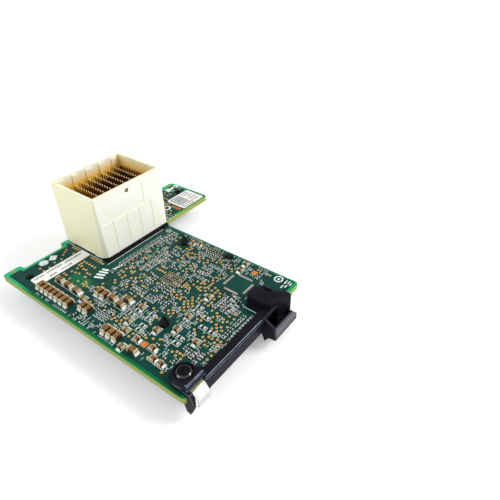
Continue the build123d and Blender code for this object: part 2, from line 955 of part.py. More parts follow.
def power_inductor():
    """The square pressed core of the inductor under the ear."""
    x, y = coil_place()
    middle_z = below_card - coil_end_thickness - coil_height / 2
    core = Pos(x, y, middle_z) * Box(coil_width, coil_width, coil_height)
    return fillet(core.edges().filter_by(Axis.Z), coil_corner)


def inductor_ends():
    """The two terminals between the inductor and the card."""
    x, y = coil_place()
    shift = (coil_width - coil_end_width) / 2
    ends = []
    for side in (-1, 1):
        ends.append(
            Pos(x + side * shift, y, below_card - coil_end_thickness / 2)
            * Box(coil_end_width, coil_width - 2 * coil_corner, coil_end_thickness)
        )
    return Compound(ends)


power_bodies, power_ends = chips(power_places(), (power_length, power_width, power_height), power_end)
bulk_bodies, bulk_ends = chips(bulk_places(), (bulk_length, bulk_width, bulk_height), bulk_end)
small_bodies, small_ends = chips(small_places(), (small_length, small_width, small_height), small_end)
resistor_bodies, resistor_ends = chips(
    spread(resistor_shares), (resistor_length, resistor_width, resistor_height), resistor_end
)

pieces = {
    "circuit_board": circuit_board(),
    "connector_housing": connector_housing(),
    "connector_wafers": connector_wafers(),
    "signal_contacts": signal_contacts(),
    "latch_bracket": latch_bracket(),
    "bracket_screws": bracket_screws(),
    "bracket_nut": bracket_nut(),
    "spring_clip": spring_clip(),
    "controller_chip": controller_chip(),
    "controller_lid": controller_lid(),
    "thermal_pad": thermal_pad(),
    "heat_sink": heat_sink(),
    "push_pins": push_pins(),
    "push_pin_springs": push_pin_springs(),
    "power_capacitors": power_bodies,
    "power_capacitor_ends": power_ends,
    "bulk_capacitors": bulk_bodies,
    "bulk_capacitor_ends": bulk_ends,
    "decoupling_capacitors": small_bodies,
    "decoupling_capacitor_ends": small_ends,
    "chip_resistors": resistor_bodies,
    "chip_resistor_ends": resistor_ends,
    "driver_chip": driver_chip(),
    "test_pads": test_pads(),
    "fiducials": fiducials(),
    "footprint_lands": footprint_lands(),
    "ear_contacts": ear_contacts(),
    "address_label": label(address_label_place(), address_label_width, address_label_depth),
    "part_label": label(part_label_place(), part_label_width, part_label_depth),
    "flash_memory": flash_memory(),
    "flash_memory_leads": flash_leads(),
    "clock_oscillator": clock_oscillator(),
    "clock_oscillator_lid": clock_lid(),
    "power_inductor": power_inductor(),
    "power_inductor_ends": inductor_ends(),
}

whole = Compound(list(pieces.values())).bounding_box()
middle = whole.center()
to_origin = Pos(-middle.X, -middle.Y, -whole.min.Z)

os.makedirs("parts", exist_ok=True)
for name, shape in pieces.items():
    export_step(to_origin * shape, f"parts/{name}.step")
print("moved by", tuple(to_origin.position))
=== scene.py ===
import math
import random
import bpy
from mathutils import Matrix, Vector


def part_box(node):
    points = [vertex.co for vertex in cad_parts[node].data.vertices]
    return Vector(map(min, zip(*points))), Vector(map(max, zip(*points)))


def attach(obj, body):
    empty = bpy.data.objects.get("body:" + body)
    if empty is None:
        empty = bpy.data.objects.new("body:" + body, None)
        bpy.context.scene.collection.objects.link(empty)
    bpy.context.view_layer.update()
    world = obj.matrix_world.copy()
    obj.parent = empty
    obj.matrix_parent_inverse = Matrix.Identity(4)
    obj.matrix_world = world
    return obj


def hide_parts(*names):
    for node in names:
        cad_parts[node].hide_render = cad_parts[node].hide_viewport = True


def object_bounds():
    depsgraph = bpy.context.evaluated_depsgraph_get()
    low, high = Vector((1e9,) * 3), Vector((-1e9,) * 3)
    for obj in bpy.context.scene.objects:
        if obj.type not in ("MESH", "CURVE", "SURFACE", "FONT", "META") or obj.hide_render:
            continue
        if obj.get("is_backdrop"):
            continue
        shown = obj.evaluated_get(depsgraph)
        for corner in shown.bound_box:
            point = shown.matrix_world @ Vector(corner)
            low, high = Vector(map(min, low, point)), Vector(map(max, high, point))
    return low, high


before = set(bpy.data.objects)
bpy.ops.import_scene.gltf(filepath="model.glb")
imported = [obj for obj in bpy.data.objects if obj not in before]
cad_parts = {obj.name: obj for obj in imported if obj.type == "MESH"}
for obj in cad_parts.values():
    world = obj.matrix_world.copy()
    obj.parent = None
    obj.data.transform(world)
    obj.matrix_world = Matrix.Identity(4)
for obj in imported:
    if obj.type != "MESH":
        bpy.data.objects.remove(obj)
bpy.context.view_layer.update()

# Camera. A normal lens that looks down on the card from its front left, as in the photograph.
camera = bpy.data.objects.new("camera", bpy.data.cameras.new("camera"))
bpy.context.scene.collection.objects.link(camera)
camera.location = (-0.084931, -0.092803, 0.105970)
camera.rotation_euler = [math.radians(angle) for angle in (53.395, 0.432, -53.899)]
camera.data.sensor_width = 36.0
camera.data.lens = 32.003
camera.data.clip_start = 0.005
bpy.context.scene.camera = camera
bpy.context.scene.view_settings.view_transform = "Standard"

# Table. A sweep of plain white paper on which the card lies.
# The camera sees it as white where no shadow falls, and it keeps the soft shadow round the card.
paper_size = 4.0
near_reach, far_reach = 0.15, 0.7
near_glow, far_glow = 0.27, 0.6


def linear(code):
    """A colour written as sRGB hex, as the linear values that a shader takes."""
    shares = [int(code[i:i + 2], 16) / 255 for i in (1, 3, 5)]
    return (*[s / 12.92 if s <= 0.04045 else ((s + 0.055) / 1.055) ** 2.4 for s in shares], 1.0)


def add(tree, kind, sockets=None, stops=None, **settings):
    """Adds one shader node, sets its properties, sets or links its sockets, and sets a ramp's stops."""
    made = tree.nodes.new("ShaderNode" + kind)
    for name, value in settings.items():
        setattr(made, name, value)
    for socket, value in (sockets or {}).items():
        if isinstance(value, bpy.types.NodeSocket):
            tree.links.new(value, made.inputs[socket])
        else:
            made.inputs[socket].default_value = value
    for i, (position, code) in enumerate(stops or []):
        ramp = made.color_ramp.elements
        stop = ramp[i] if i < 2 else ramp.new(position)
        stop.position = position
        stop.color = linear(code)
    return made


def combine(tree, operation, first, second, **settings):
    """The result of one sum of two values."""
    return add(tree, "Math", {0: first, 1: second}, operation=operation, **settings).outputs[0]


def span(tree, value, start, end, low=0.0, high=1.0):
    """A value carried from one range over to another, and held at both ends."""
    return add(tree, "MapRange", {0: value, 1: start, 2: end, 3: low, 4: high}).outputs[0]


def new_material(name):
    """An empty material, with its node tree and its output."""
    made = bpy.data.materials.new(name)
    made.use_nodes = True
    made.node_tree.nodes.clear()
    return made, made.node_tree, add(made.node_tree, "OutputMaterial")


bpy.ops.mesh.primitive_plane_add(size=paper_size)
table = bpy.context.object
table.name = "table_paper"
# Matt paper with a faint glow of its own, which grows with the distance and evens out the white.
paper, tree, output = new_material("matt_white_paper")
rays = add(tree, "LightPath")
seen = combine(tree, "MAXIMUM", rays.outputs["Is Camera Ray"], rays.outputs["Is Glossy Ray"])
seen = combine(tree, "MAXIMUM", seen, rays.outputs["Is Transmission Ray"])
where = add(tree, "TexCoord").outputs["Object"]
away = add(tree, "VectorMath", {0: where}, operation="LENGTH").outputs["Value"]
lift = combine(tree, "MULTIPLY", seen, span(tree, away, near_reach, far_reach, near_glow, far_glow))
glow = add(tree, "Emission", {"Color": linear("#FFFFFF"), "Strength": lift})
matt = add(tree, "BsdfDiffuse", {"Color": linear("#F7F6F3")})
both = add(tree, "AddShader", {0: matt.outputs[0], 1: glow.outputs[0]})
tree.links.new(both.outputs[0], output.inputs["Surface"])
table.data.materials.append(paper)
table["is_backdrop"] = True

# Light. A white room and two soft boxes, the stronger one high at the front right, the other at the left.
# The camera sees the room as pure white, but it lights the card more softly.
room_strength = 0.62
world = bpy.data.worlds.new("white_room")
bpy.context.scene.world = world
world.use_nodes = True
room = world.node_tree
room.nodes.clear()
rays = add(room, "LightPath")
plain = add(room, "Background", {"Color": linear("#FFFFFF"), "Strength": 1.0})
soft = add(room, "Background", {"Color": linear("#FAFCFF"), "Strength": room_strength})
choice = add(room, "MixShader", {0: rays.outputs["Is Camera Ray"], 1: soft.outputs[0], 2: plain.outputs[0]})
add(room, "OutputWorld", {"Surface": choice.outputs[0]})

for name, place, size, watts in [
    ("front_box", (0.40, -0.50, 0.52), 0.35, 4.4),
    ("left_box", (-0.62, 0.30, 0.40), 0.40, 1.6),
]:
    lamp = bpy.data.objects.new(name, bpy.data.lights.new(name, "AREA"))
    lamp.data.size = size
    lamp.data.energy = watts
    lamp.location = place
    lamp.rotation_euler = (-Vector(place)).to_track_quat("-Z", "Y").to_euler()
    bpy.context.scene.collection.objects.link(lamp)

# Circuit board. A multilayer glass-fibre laminate, milled to an L and coated with green solder mask.
# Its copper stops short of the edge, where the bare border is brighter, and its sawn edge is yellow-green.
mm = 0.001
card_low, card_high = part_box("circuit_board")
card_face = card_high[2]
card_width = card_high[0] - card_low[0]
card_length = card_high[1] - card_low[1]
body_width = 55.5 * mm
ear_length = 21.3 * mm
copper_border = 1.1 * mm
right_border = 0.8 * mm
back_border = 2.2 * mm
edge_band = 0.4 * mm
notch_left, notch_right, notch_depth = 6.6 * mm, 22.5 * mm, 2.5 * mm
clearing = (13.7, 59.9)
clearing_reach = (2.6 * mm, 5.0 * mm, 6.0 * mm)
plane_size = 6.0 * mm
track_bundle = 2.6 * mm
cloth_layer = 0.2 * mm
mask_ripple = 1.5 * mm


def on_card(x, y, z=0.0):
    """A place given in millimetres from the card's front left corner and above its face."""
    return Vector((card_low[0] + x * mm, card_low[1] + y * mm, card_face + z * mm))


def within(tree, place, low, high):
    """One within a rectangle of the card, in metres from its front left corner, and zero outside it."""
    sides = []
    for axis in (0, 1):
        middle = card_low[axis] + (low[axis] + high[axis]) / 2
        half = (high[axis] - low[axis]) / 2
        side = add(tree, "Math", {0: place.outputs[axis], 1: middle, 2: half}, operation="COMPARE")
        sides.append(side.outputs[0])
    return combine(tree, "MULTIPLY", sides[0], sides[1])


def noise(tree, size, detail=2.0, rough=0.5):
    """The shade of a noise whose grains have a real size."""
    where = add(tree, "TexCoord").outputs["Object"]
    sockets = {"Vector": where, "Scale": 1 / size, "Detail": detail, "Roughness": rough}
    return add(tree, "TexNoise", sockets).outputs[0]


def place_of(tree):
    """The three parts of a point's place on the piece."""
    return add(tree, "SeparateXYZ", {0: add(tree, "TexCoord").outputs["Object"]})


def normal_of(tree):
    """The three parts of the direction that the surface faces."""
    return add(tree, "SeparateXYZ", {0: add(tree, "NewGeometry").outputs["Normal"]})


def blend(tree, share, first, second):
    """The colour between two others, each of them a socket or a hex code."""
    ends = [linear(end) if isinstance(end, str) else end for end in (first, second)]
    return add(tree, "Mix", {0: share, 6: ends[0], 7: ends[1]}, data_type="RGBA").outputs[2]


def bumps(tree, height, strength, distance):
    """The direction of a surface with bumps of a real height."""
    return add(tree, "Bump", {"Height": height, "Strength": strength, "Distance": distance}).outputs[0]


def coat(tree, output, sockets):
    """Ends a material with the one shader that takes all that was mixed for it."""
    shader = add(tree, "BsdfPrincipled", sockets)
    tree.links.new(shader.outputs[0], output.inputs["Surface"])


# Satin green mask: dark over the copper planes, bright along the border, with faint tracks under it.
mask, tree, output = new_material("solder_mask_on_laminate")
where = add(tree, "TexCoord").outputs["Object"]
place = place_of(tree)
edge = copper_border
copper_back = card_length - back_border
ear_front = card_length - ear_length
notch_front = card_length - notch_depth
body = within(tree, place, (edge, edge), (body_width - right_border, copper_back))
ear = within(tree, place, (edge, ear_front + edge), (card_width - edge, copper_back))
gap = within(tree, place, (notch_left - edge, notch_front - edge), (notch_right + edge, card_length))
copper = combine(tree, "MAXIMUM", body, ear)
copper = combine(tree, "SUBTRACT", copper, gap, use_clamp=True)
# Round one spot the copper is cleared from all layers, so the laminate shows through as lighter green.
offset = add(tree, "VectorMath", {0: where, 1: on_card(*clearing)}, operation="SUBTRACT").outputs[0]
scales = [1 / reach for reach in clearing_reach]
squeezed = add(tree, "VectorMath", {0: offset, 1: scales}, operation="MULTIPLY")
far = add(tree, "VectorMath", {0: squeezed.outputs[0]}, operation="LENGTH").outputs["Value"]
far = add(tree, "Math", {0: noise(tree, 2.2 * mm), 1: 0.9, 2: far}, operation="MULTIPLY_ADD").outputs[0]
clear = span(tree, far, 1.35, 1.55, 1.0, 0.0)
# Copper planes lie in blocks a few millimetres wide, and tracks run in bundles over them.
planes = add(tree, "TexVoronoi", {"Vector": where, "Scale": 1 / plane_size}, distance="CHEBYCHEV")
tone = add(tree, "ValToRGB", {0: planes.outputs["Color"]}, [(0.0, "#00352E"), (1.0, "#02463C")])
turned = add(tree, "Mapping", {"Vector": where, "Rotation": (0.0, 0.0, math.radians(45))})
tracks = add(tree, "TexWave", {
    "Vector": turned.outputs[0], "Scale": 1 / track_bundle, "Distortion": 3.0, "Detail": 2.0,
})
track_mask = add(tree, "ValToRGB", {0: tracks.outputs["Fac"]}, [(0.55, "#000000"), (0.75, "#FFFFFF")])
track_share = combine(tree, "MULTIPLY", track_mask.outputs[0], 0.09)
tracked = blend(tree, track_share, tone.outputs[0], "#13604A")
inner = blend(tree, clear, tracked, "#0A6444")
# The border is brightest in a narrow band along the sawn edge, and it lightens to the back and the front.
outer = within(tree, place, (edge_band, edge_band), (body_width - edge_band, card_length))
border = blend(tree, outer, "#078244", "#05663C")
backward = span(tree, place.outputs[1], card_low[1] + 68 * mm, card_low[1] + 76 * mm)
border = blend(tree, backward, border, "#2CB475")
frontward = span(tree, place.outputs[1], card_low[1] + 1.2 * mm, card_low[1] + 2.0 * mm, 1.0, 0.0)
border = blend(tree, frontward, border, "#0E9E56")
right_side = within(tree, place, (body_width - 2 * mm, 4 * mm), (body_width, ear_front - 2 * mm))
border = blend(tree, right_side, border, "#3A7A62")
covered = blend(tree, copper, border, inner)
# The sawn edge shows the layers of glass cloth, and painted shade darkens the walls of the holes.
layers = add(tree, "TexWave", {
    "Vector": where, "Scale": 1 / (6.4 * cloth_layer), "Distortion": 0.6,
}, bands_direction="Z")
cloth = add(tree, "ValToRGB", {0: layers.outputs["Fac"]}, [(0.0, "#7F9440"), (1.0, "#B4BC72")])
# Painted shade: where the walls lie inside the copper, as in the holes, they are near black.
cloth_edge_and_hole_shade = blend(tree, copper, cloth.outputs[0], "#1B1F10")
level = add(tree, "Math", {0: normal_of(tree).outputs[2]}, operation="ABSOLUTE")
flat = combine(tree, "GREATER_THAN", level.outputs[0], 0.5)
colour = blend(tree, flat, cloth_edge_and_hole_shade, covered)
ripple = noise(tree, mask_ripple, 3.0)
relief = bumps(tree, combine(tree, "ADD", ripple, track_mask.outputs[0]), 0.25, 0.02 * mm)
gloss = span(tree, flat, 0.0, 1.0, 0.75, 0.36)
coat(tree, output, {
    "Base Color": colour, "Roughness": gloss, "Normal": relief, "Specular IOR Level": 0.18,
})


def dress(node, finish):
    """Gives a CAD node one material."""
    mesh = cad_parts[node].data
    mesh.materials.clear()
    mesh.materials.append(finish)


dress("circuit_board", mask)


# Vias. Holes drilled through the card and plated, each with a flat ring of gold over nickel on the face.
# They stand in short rows and clusters, and each one is a low ring round a dimple.
via_diameter = 0.85 * mm
via_rise = 0.05 * mm
via_ring = 0.17 * mm
via_bevel, via_depth = 0.10 * mm, 0.03 * mm
via_room = 0.9
merge_distance = 0.001 * mm


def tones(tree, shade, dark, light):
    """A colour that follows the shade of a noise from dark to light."""
    return add(tree, "ValToRGB", {0: shade}, [(0.3, dark), (0.7, light)]).outputs[0]


def uneven(tree, shade, low, high):
    """A value that follows the shade of a noise from one end to the other."""
    return span(tree, shade, 0.3, 0.7, low, high)


def speckled(name, dark, light, grain, smooth, rough, metallic=0.0, relief=0.0, shine=0.5, sides=None):
    """A material that varies over grains of a real size. Upright faces may take a second colour, used for
    painted shade.
    """
    made, tree, output = new_material(name)
    grains = noise(tree, grain, 4.0, 0.6)
    colour = tones(tree, grains, dark, light)
    gloss = uneven(tree, grains, smooth, rough)
    inputs = {"Base Color": colour, "Roughness": gloss, "Metallic": metallic, "Specular IOR Level": shine}
    if sides:
        inputs["Base Color"] = blend(tree, normal_of(tree).outputs[2], sides, colour)
    if relief:
        inputs["Normal"] = bumps(tree, grains, 1.0, relief)
    coat(tree, output, inputs)
    return made


def mode(name):
    """Goes into the editing of a mesh with "EDIT", and out of it with "OBJECT"."""
    bpy.ops.object.mode_set(mode=name)


def only(piece):
    """Makes one piece the only one selected, and the active one."""
    bpy.ops.object.select_all(action="DESELECT")
    piece.select_set(True)
    bpy.context.view_layer.objects.active = piece


def settle(piece, name, finish):
    """Applies a finished piece's transform, and gives it its name, material and body."""
    only(piece)
    bpy.ops.object.transform_apply(location=True, rotation=True, scale=True)
    piece.name = name
    if finish:
        piece.data.materials.clear()
        piece.data.materials.append(finish)
    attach(piece, "root")


def lay(pattern, places, keep=False):
    """Copies a modelled pattern to each place, turn and scale, and joins the copies."""
    copies = []
    for place, turn, scale in places:
        copy = pattern.copy()
        copy.data = pattern.data.copy()
        copy.matrix_world = Matrix.LocRotScale(place, Matrix.Rotation(turn, 3, "Z"), Vector(scale))
        bpy.context.scene.collection.objects.link(copy)
        copies.append(copy)
    bpy.ops.object.select_all(action="DESELECT")
    for copy in copies:
        copy.select_set(True)
    bpy.context.view_layer.objects.active = copies[0]
    bpy.ops.object.join()
    joined = bpy.context.object
    if not keep:
        bpy.data.objects.remove(pattern)
    return joined


# Thin gold over copper: orange in its dark grains and pale gold in its bright ones.
via_gold = speckled("immersion_gold_on_copper", "#F0A03C", "#FFDC90", 0.35 * mm, 0.25, 0.4, metallic=0.35)
bpy.ops.object.select_all(action="DESELECT")
bpy.ops.mesh.primitive_cylinder_add(
    vertices=10, radius=via_diameter / 2, depth=via_rise, end_fill_type="NGON"
)
via = bpy.context.object
mode("EDIT")
bpy.ops.mesh.select_all(action="DESELECT")
mode("OBJECT")
for face in via.data.polygons:
    face.select = face.normal.z > 0.5
mode("EDIT")
bpy.ops.mesh.inset(thickness=via_ring, depth=0.0)
bpy.ops.mesh.inset(thickness=via_bevel, depth=-via_depth)
mode("OBJECT")

# The face of the card is shared out in rectangles, in millimetres from its front left corner.
taken = []


def claim(x, y, width, depth):
    """Takes a rectangle of the card's face, and says whether it was free."""
    low_x, high_x, low_y, high_y = x - width / 2, x + width / 2, y - depth / 2, y + depth / 2
    for other in taken:
        if low_x < other[1] and other[0] < high_x and low_y < other[3] and other[2] < high_y:
            return False
    taken.append((low_x, high_x, low_y, high_y))
    return True


def loose_boxes(node):
    """The box of each loose piece of a CAD node, in millimetres from the card's front left corner."""
    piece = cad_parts[node].copy()
    piece.data = piece.data.copy()
    bpy.context.scene.collection.objects.link(piece)
    only(piece)
    mode("EDIT")
    bpy.ops.mesh.select_all(action="SELECT")
    bpy.ops.mesh.remove_doubles(threshold=merge_distance)
    bpy.ops.mesh.separate(type="LOOSE")
    mode("OBJECT")
    boxes = []
    for part in bpy.context.selected_objects[:]:
        box = []
        for axis in (0, 1):
            values = [(vertex.co[axis] - card_low[axis]) / mm for vertex in part.data.vertices]
            box.append((min(values), max(values)))
        boxes.append(box)
        bpy.data.objects.remove(part)
    return boxes


# Every piece that is fitted already takes its box and a margin.
fitted_boxes = {}
for node, margin in [
    ("power_capacitors", 0.7), ("bulk_capacitors", 0.6), ("decoupling_capacitors", 0.25),
    ("chip_resistors", 0.45), ("driver_chip", 0.2), ("test_pads", 0.2), ("fiducials", 0.2),
    ("footprint_lands", 0.1), ("ear_contacts", 0.2), ("address_label", 0.1), ("part_label", 0.1),
    ("push_pins", 0.0),
]:
    fitted_boxes[node] = loose_boxes(node)
    for (low_x, high_x), (low_y, high_y) in fitted_boxes[node]:
        taken.append((low_x - margin, high_x + margin, low_y - margin, high_y + margin))
# So do the near boss, the bar, the far boss, the connector, the two alignment holes and the bare footprint.
taken += [
    (0.7, 10.2, 0.0, 8.8), (0.0, 46.3, -1.0, 2.3), (36.0, 44.6, 0.0, 8.8), (25.2, 56.0, 58.4, 84.0),
    (3.3, 6.7, 73.7, 77.1), (75.3, 78.7, 73.7, 77.1), (38.2, 48.3, 10.7, 20.9),
]

# Rows of vias: the place of the first one, the step to the next, and how many there are.
via_rows = [
    (21.2, 67.5, 0, -1.45, 5), (20.0, 67.4, 0, 0, 1), (19.0, 66.1, 0, 0, 1), (18.4, 64.3, 0.2, -1.2, 2),
    (17.7, 61.4, 0.1, -1.3, 2), (16.0, 60.2, 0, 0, 1), (15.2, 66.5, 0.4, -1.5, 3),
    (13.0, 67.7, -0.1, -1.3, 2), (12.4, 63.8, 0, 0, 1), (13.3, 60.5, 0, -2.4, 3), (24.2, 77.9, 0, -1.3, 3),
    (21.9, 74.8, 0, 0, 1), (21.8, 78.9, -1.3, -0.9, 3), (17.3, 75.4, -2.6, 0.3, 2), (12.0, 74.6, 0, 0, 1),
    (9.7, 76.7, 0, -2.1, 2), (72.3, 78.4, -0.2, -1.7, 2), (69.9, 76.1, -0.2, -1.6, 2),
    (66.9, 73.1, 0.5, -2.2, 2), (63.8, 66.7, -1.6, -1.5, 2), (33.5, 39.9, 0, 1.2, 4),
    (27.2, 52.3, 1.0, -0.9, 3), (23.6, 51.7, 1.8, 0, 2), (23.1, 49.8, 1.3, 0, 2), (20.0, 49.8, 0.9, 1.0, 2),
    (24.7, 47.0, 1.0, -1.0, 3), (25.7, 43.2, 0, 0, 1), (22.8, 44.1, -2.0, 0.9, 2), (29.7, 47.9, 0, 0, 1),
    (28.6, 45.0, 0, -2.8, 2), (27.6, 28.7, 1.0, -0.9, 2), (26.6, 27.7, 1.0, -0.9, 2),
    (27.6, 23.9, 1.0, -1.0, 2), (25.7, 24.0, 0.9, -1.0, 3), (23.8, 23.9, 0.95, -0.95, 4),
    (19.9, 24.9, 1.0, -1.0, 2), (20.9, 25.9, 0.9, -1.0, 2), (23.7, 21.9, 0, 0, 1), (29.6, 23.8, 0, 0, 1),
    (39.9, 23.9, 1.7, 0, 3), (37.4, 20.8, -1.7, 0.1, 2), (38.2, 19.3, -1.3, 0, 4),
    (36.2, 17.9, -1.3, -0.8, 2), (29.0, 20.5, 1.2, 0, 2), (28.5, 19.2, 1.3, -0.4, 2),
    (29.7, 17.3, 1.7, 0, 2), (30.5, 22.0, 0, 0, 1), (33.6, 23.9, 1.8, -0.1, 2), (30.6, 27.7, 1.95, 0, 4),
    (47.2, 36.3, -1.0, -0.8, 2), (47.1, 34.4, -0.8, -0.8, 2), (47.2, 32.4, -1.0, -0.8, 2),
    (45.3, 32.6, -0.1, 1.9, 2), (44.3, 35.4, -1.5, 0, 3), (45.2, 38.3, 2.0, 0.1, 2), (41.2, 41.2, 0, 0, 1),
    (48.1, 30.9, 0, -1.9, 2), (49.7, 29.1, 0.6, -1.2, 2), (49.0, 27.9, -0.6, -1.3, 2),
    (48.1, 23.6, 0.1, -1.1, 2), (47.2, 21.6, -0.1, -1.4, 2), (37.7, 35.5, 2.6, -3.0, 2),
    (41.4, 29.6, 0, 0, 1), (28.7, 14.9, 0, -2.0, 2), (26.7, 12.9, 1.0, -1.0, 2), (24.9, 12.0, 0, -1.9, 3),
    (26.8, 9.1, 0.9, -1.0, 2), (23.9, 9.1, -1.0, 1.0, 3), (22.9, 8.2, 1.0, -1.0, 2), (26.0, 6.7, 0, 0, 1),
    (22.9, 13.0, 0.6, 1.9, 2), (23.3, 16.2, 1.6, -0.4, 2), (19.6, 14.1, -0.9, -0.9, 2),
    (18.8, 10.1, 1.1, -1.4, 2), (19.9, 7.5, 0.6, -1.5, 2), (20.4, 4.7, -1.3, 0, 2), (19.1, 6.0, 0, 0, 1),
    (29.8, 9.0, -0.1, -1.9, 2), (31.6, 7.6, 1.1, 2.6, 2), (12.1, 34.7, -1.3, -0.1, 3),
    (8.5, 35.5, 0.6, 1.4, 3), (8.3, 33.7, 0, 0, 1), (5.0, 27.9, 1.5, -0.2, 3), (9.0, 23.2, 1.0, -1.9, 3),
    (13.6, 26.1, 0, 0, 1), (18.9, 30.3, 5.8, 0.4, 2), (25.2, 35.4, 0, 0, 1), (9.7, 13.5, 0.8, -1.1, 2),
    (10.5, 11.2, 0, -1.2, 2), (24.2, 61.1, 0, 1.25, 6), (63.5, 72.5, 1.3, 0, 3), (66.0, 76.5, 0, 1.3, 3),
]
via_places = []
for x, y, step_x, step_y, count in via_rows:
    for i in range(count):
        if claim(x + i * step_x, y + i * step_y, via_room, via_room):
            via_places.append((x + i * step_x, y + i * step_y))

# Small chips. Ceramic chips of 1 by 0.5 mm with a dark fired body and tinned ends, soldered to the card.
# Hundreds of them stand in loose rows and blocks over its whole body, and a few on its ear.
chip_length, chip_width, chip_height, chip_end = 1.0 * mm, 0.5 * mm, 0.4 * mm, 0.22 * mm
chip_room = (1.15, 0.62)
# Near-black ceramic, too matt to catch a light.
dark_ceramic = speckled("fired_dark_ceramic", "#060403", "#1A120C", 0.4 * mm, 0.55, 0.8)
# White-bright tin, uneven as solder leaves it, so each end sparkles differently.
tin = speckled("reflowed_tin", "#DAD7CD", "#FBFAF6", 0.3 * mm, 0.3, 0.5, metallic=0.2, relief=0.02 * mm)


def block_of(middle, size):
    """A plain block, with its middle and its size put into its mesh."""
    bpy.ops.object.select_all(action="DESELECT")
    bpy.ops.mesh.primitive_cube_add(size=1.0, location=middle, scale=size)
    bpy.ops.object.transform_apply(location=True, rotation=True, scale=True)
    return bpy.context.object


chip = block_of((0.0, 0.0, chip_height / 2), (chip_length, chip_width, chip_height))
mode("EDIT")
for side in (-1, 1):
    bpy.ops.mesh.select_all(action="SELECT")
    cut = side * (chip_length / 2 - chip_end)
    bpy.ops.mesh.bisect(plane_co=(cut, 0.0, 0.0), plane_no=(1.0, 0.0, 0.0))
mode("OBJECT")
chip.data.materials.append(dark_ceramic)
chip.data.materials.append(tin)
for face in chip.data.polygons:
    face.material_index = int(abs(face.center.x) > chip_length / 2 - chip_end)

picks = random.Random(41)
chip_places = []
framed_places = []
mark_places = []


def chip_rows(x, y, columns, rows, step_x, step_y, turned, framed=0.5):
    """Fits a block of like chips in rows, a share of them with ink beside them."""
    width, depth = chip_room[::-1] if turned else chip_room
    for i in range(columns):
        for j in range(rows):
            spot_x, spot_y = x + i * step_x, y + j * step_y
            if claim(spot_x, spot_y, width, depth):
                chip_places.append((spot_x, spot_y, turned))
                if picks.random() < framed:
                    framed_places.append((spot_x, spot_y, turned))


def via_block(x, y, columns, rows, step=1.05, slant=0.5, fitted=0.85):
    """Fits a block of vias whose rows are each set off a little, with gaps here and there."""
    for j in range(rows):
        for i in range(columns):
            spot_x, spot_y = x + i * step + j * slant, y + j * step
            if picks.random() < fitted and claim(spot_x, spot_y, via_room, via_room):
                via_places.append((spot_x, spot_y))


# Blocks of chips: the first chip's place, the columns and rows, their steps, whether the chips are turned,
# and the share with ink. The first blocks stand before the connector and beside the array.
for block in [
    (27.5, 55.5, 13, 1, 1.65, -0.06, True, 1.0), (28.4, 53.8, 12, 1, 1.65, -0.06, True, 1.0),
    (31.3, 48.2, 8, 1, 1.6, -0.18, True, 0.9), (31.0, 45.9, 9, 1, 1.7, -0.3, True, 0.9),
    (36.0, 44.4, 5, 1, 1.7, -0.1, True, 0.6), (24.6, 36.6, 5, 2, 1.15, -1.5, True, 0.1),
    (26.6, 41.8, 4, 2, 1.15, -1.5, True, 0.1), (26.0, 33.2, 5, 2, 1.3, -1.6, True, 0.2),
    (21.1, 42.6, 2, 4, 1.3, -1.5, False, 0.8), (20.8, 35.6, 2, 3, 1.4, -1.5, False, 0.8),
    (49.2, 37.4, 1, 14, 0.05, -1.12, False, 0.0), (51.0, 36.0, 1, 10, 0.02, -1.12, False, 0.2),
    (40.3, 37.4, 2, 3, 2.2, -1.6, False, 0.9), (38.4, 30.9, 3, 3, 2.4, -1.7, False, 0.9),
    (45.6, 29.8, 1, 4, 0.0, -1.6, False, 1.0), (38.4, 26.4, 2, 2, 2.3, -1.5, True, 0.8),
    (20.6, 28.2, 5, 1, 1.15, 0.0, True, 0.2), (22.8, 28.9, 4, 1, 1.1, -0.9, True, 0.2),
    (13.2, 33.2, 3, 2, 1.6, -1.5, True, 1.0), (11.6, 28.2, 2, 2, 1.7, -1.6, False, 1.0),
    (16.2, 18.6, 4, 2, 1.5, -1.7, True, 1.0), (12.6, 22.0, 2, 1, 1.8, 0.0, False, 1.0),
    (12.6, 11.4, 4, 4, 1.1, -1.1, False, 0.0), (22.4, 5.2, 9, 1, 1.25, -0.15, True, 0.5),
    (23.0, 3.2, 9, 1, 1.3, 0.0, False, 0.3), (29.9, 15.1, 6, 1, 1.25, 0.1, True, 0.9),
    (30.6, 12.4, 4, 1, 1.15, -0.3, True, 0.2), (33.9, 11.6, 3, 2, 1.4, -1.4, True, 0.8),
    (31.6, 19.6, 3, 2, 1.3, -1.4, False, 0.5), (24.8, 20.6, 3, 3, 1.3, -1.3, False, 0.7),
    (10.4, 46.2, 4, 3, 1.5, -1.5, True, 0.5), (10.4, 40.6, 3, 4, 1.6, -1.4, False, 0.7),
    (9.6, 62.0, 1, 5, 0.0, -1.5, True, 0.7), (13.6, 43.6, 3, 3, 1.4, -1.4, False, 0.8),
    (14.8, 37.2, 3, 2, 1.5, -1.5, False, 0.6), (2.9, 22.4, 3, 1, 1.4, 0.0, True, 0.8),
    (3.0, 17.0, 1, 3, 0.0, -1.6, False, 0.9), (47.5, 54.6, 5, 2, 1.3, -1.5, True, 0.5),
    (64.8, 80.4, 1, 6, 0.0, -1.4, False, 0.6), (59.0, 66.0, 3, 3, 1.6, -1.6, True, 0.5),
    (40.5, 13.6, 4, 2, 1.5, -1.5, True, 0.5), (47.5, 12.6, 4, 1, 1.4, -0.2, True, 0.6),
    (46.4, 21.6, 1, 2, 0.0, -1.5, False, 0.8), (6.4, 44.2, 2, 5, 1.6, -1.5, False, 0.6),
]:
    chip_rows(*block)
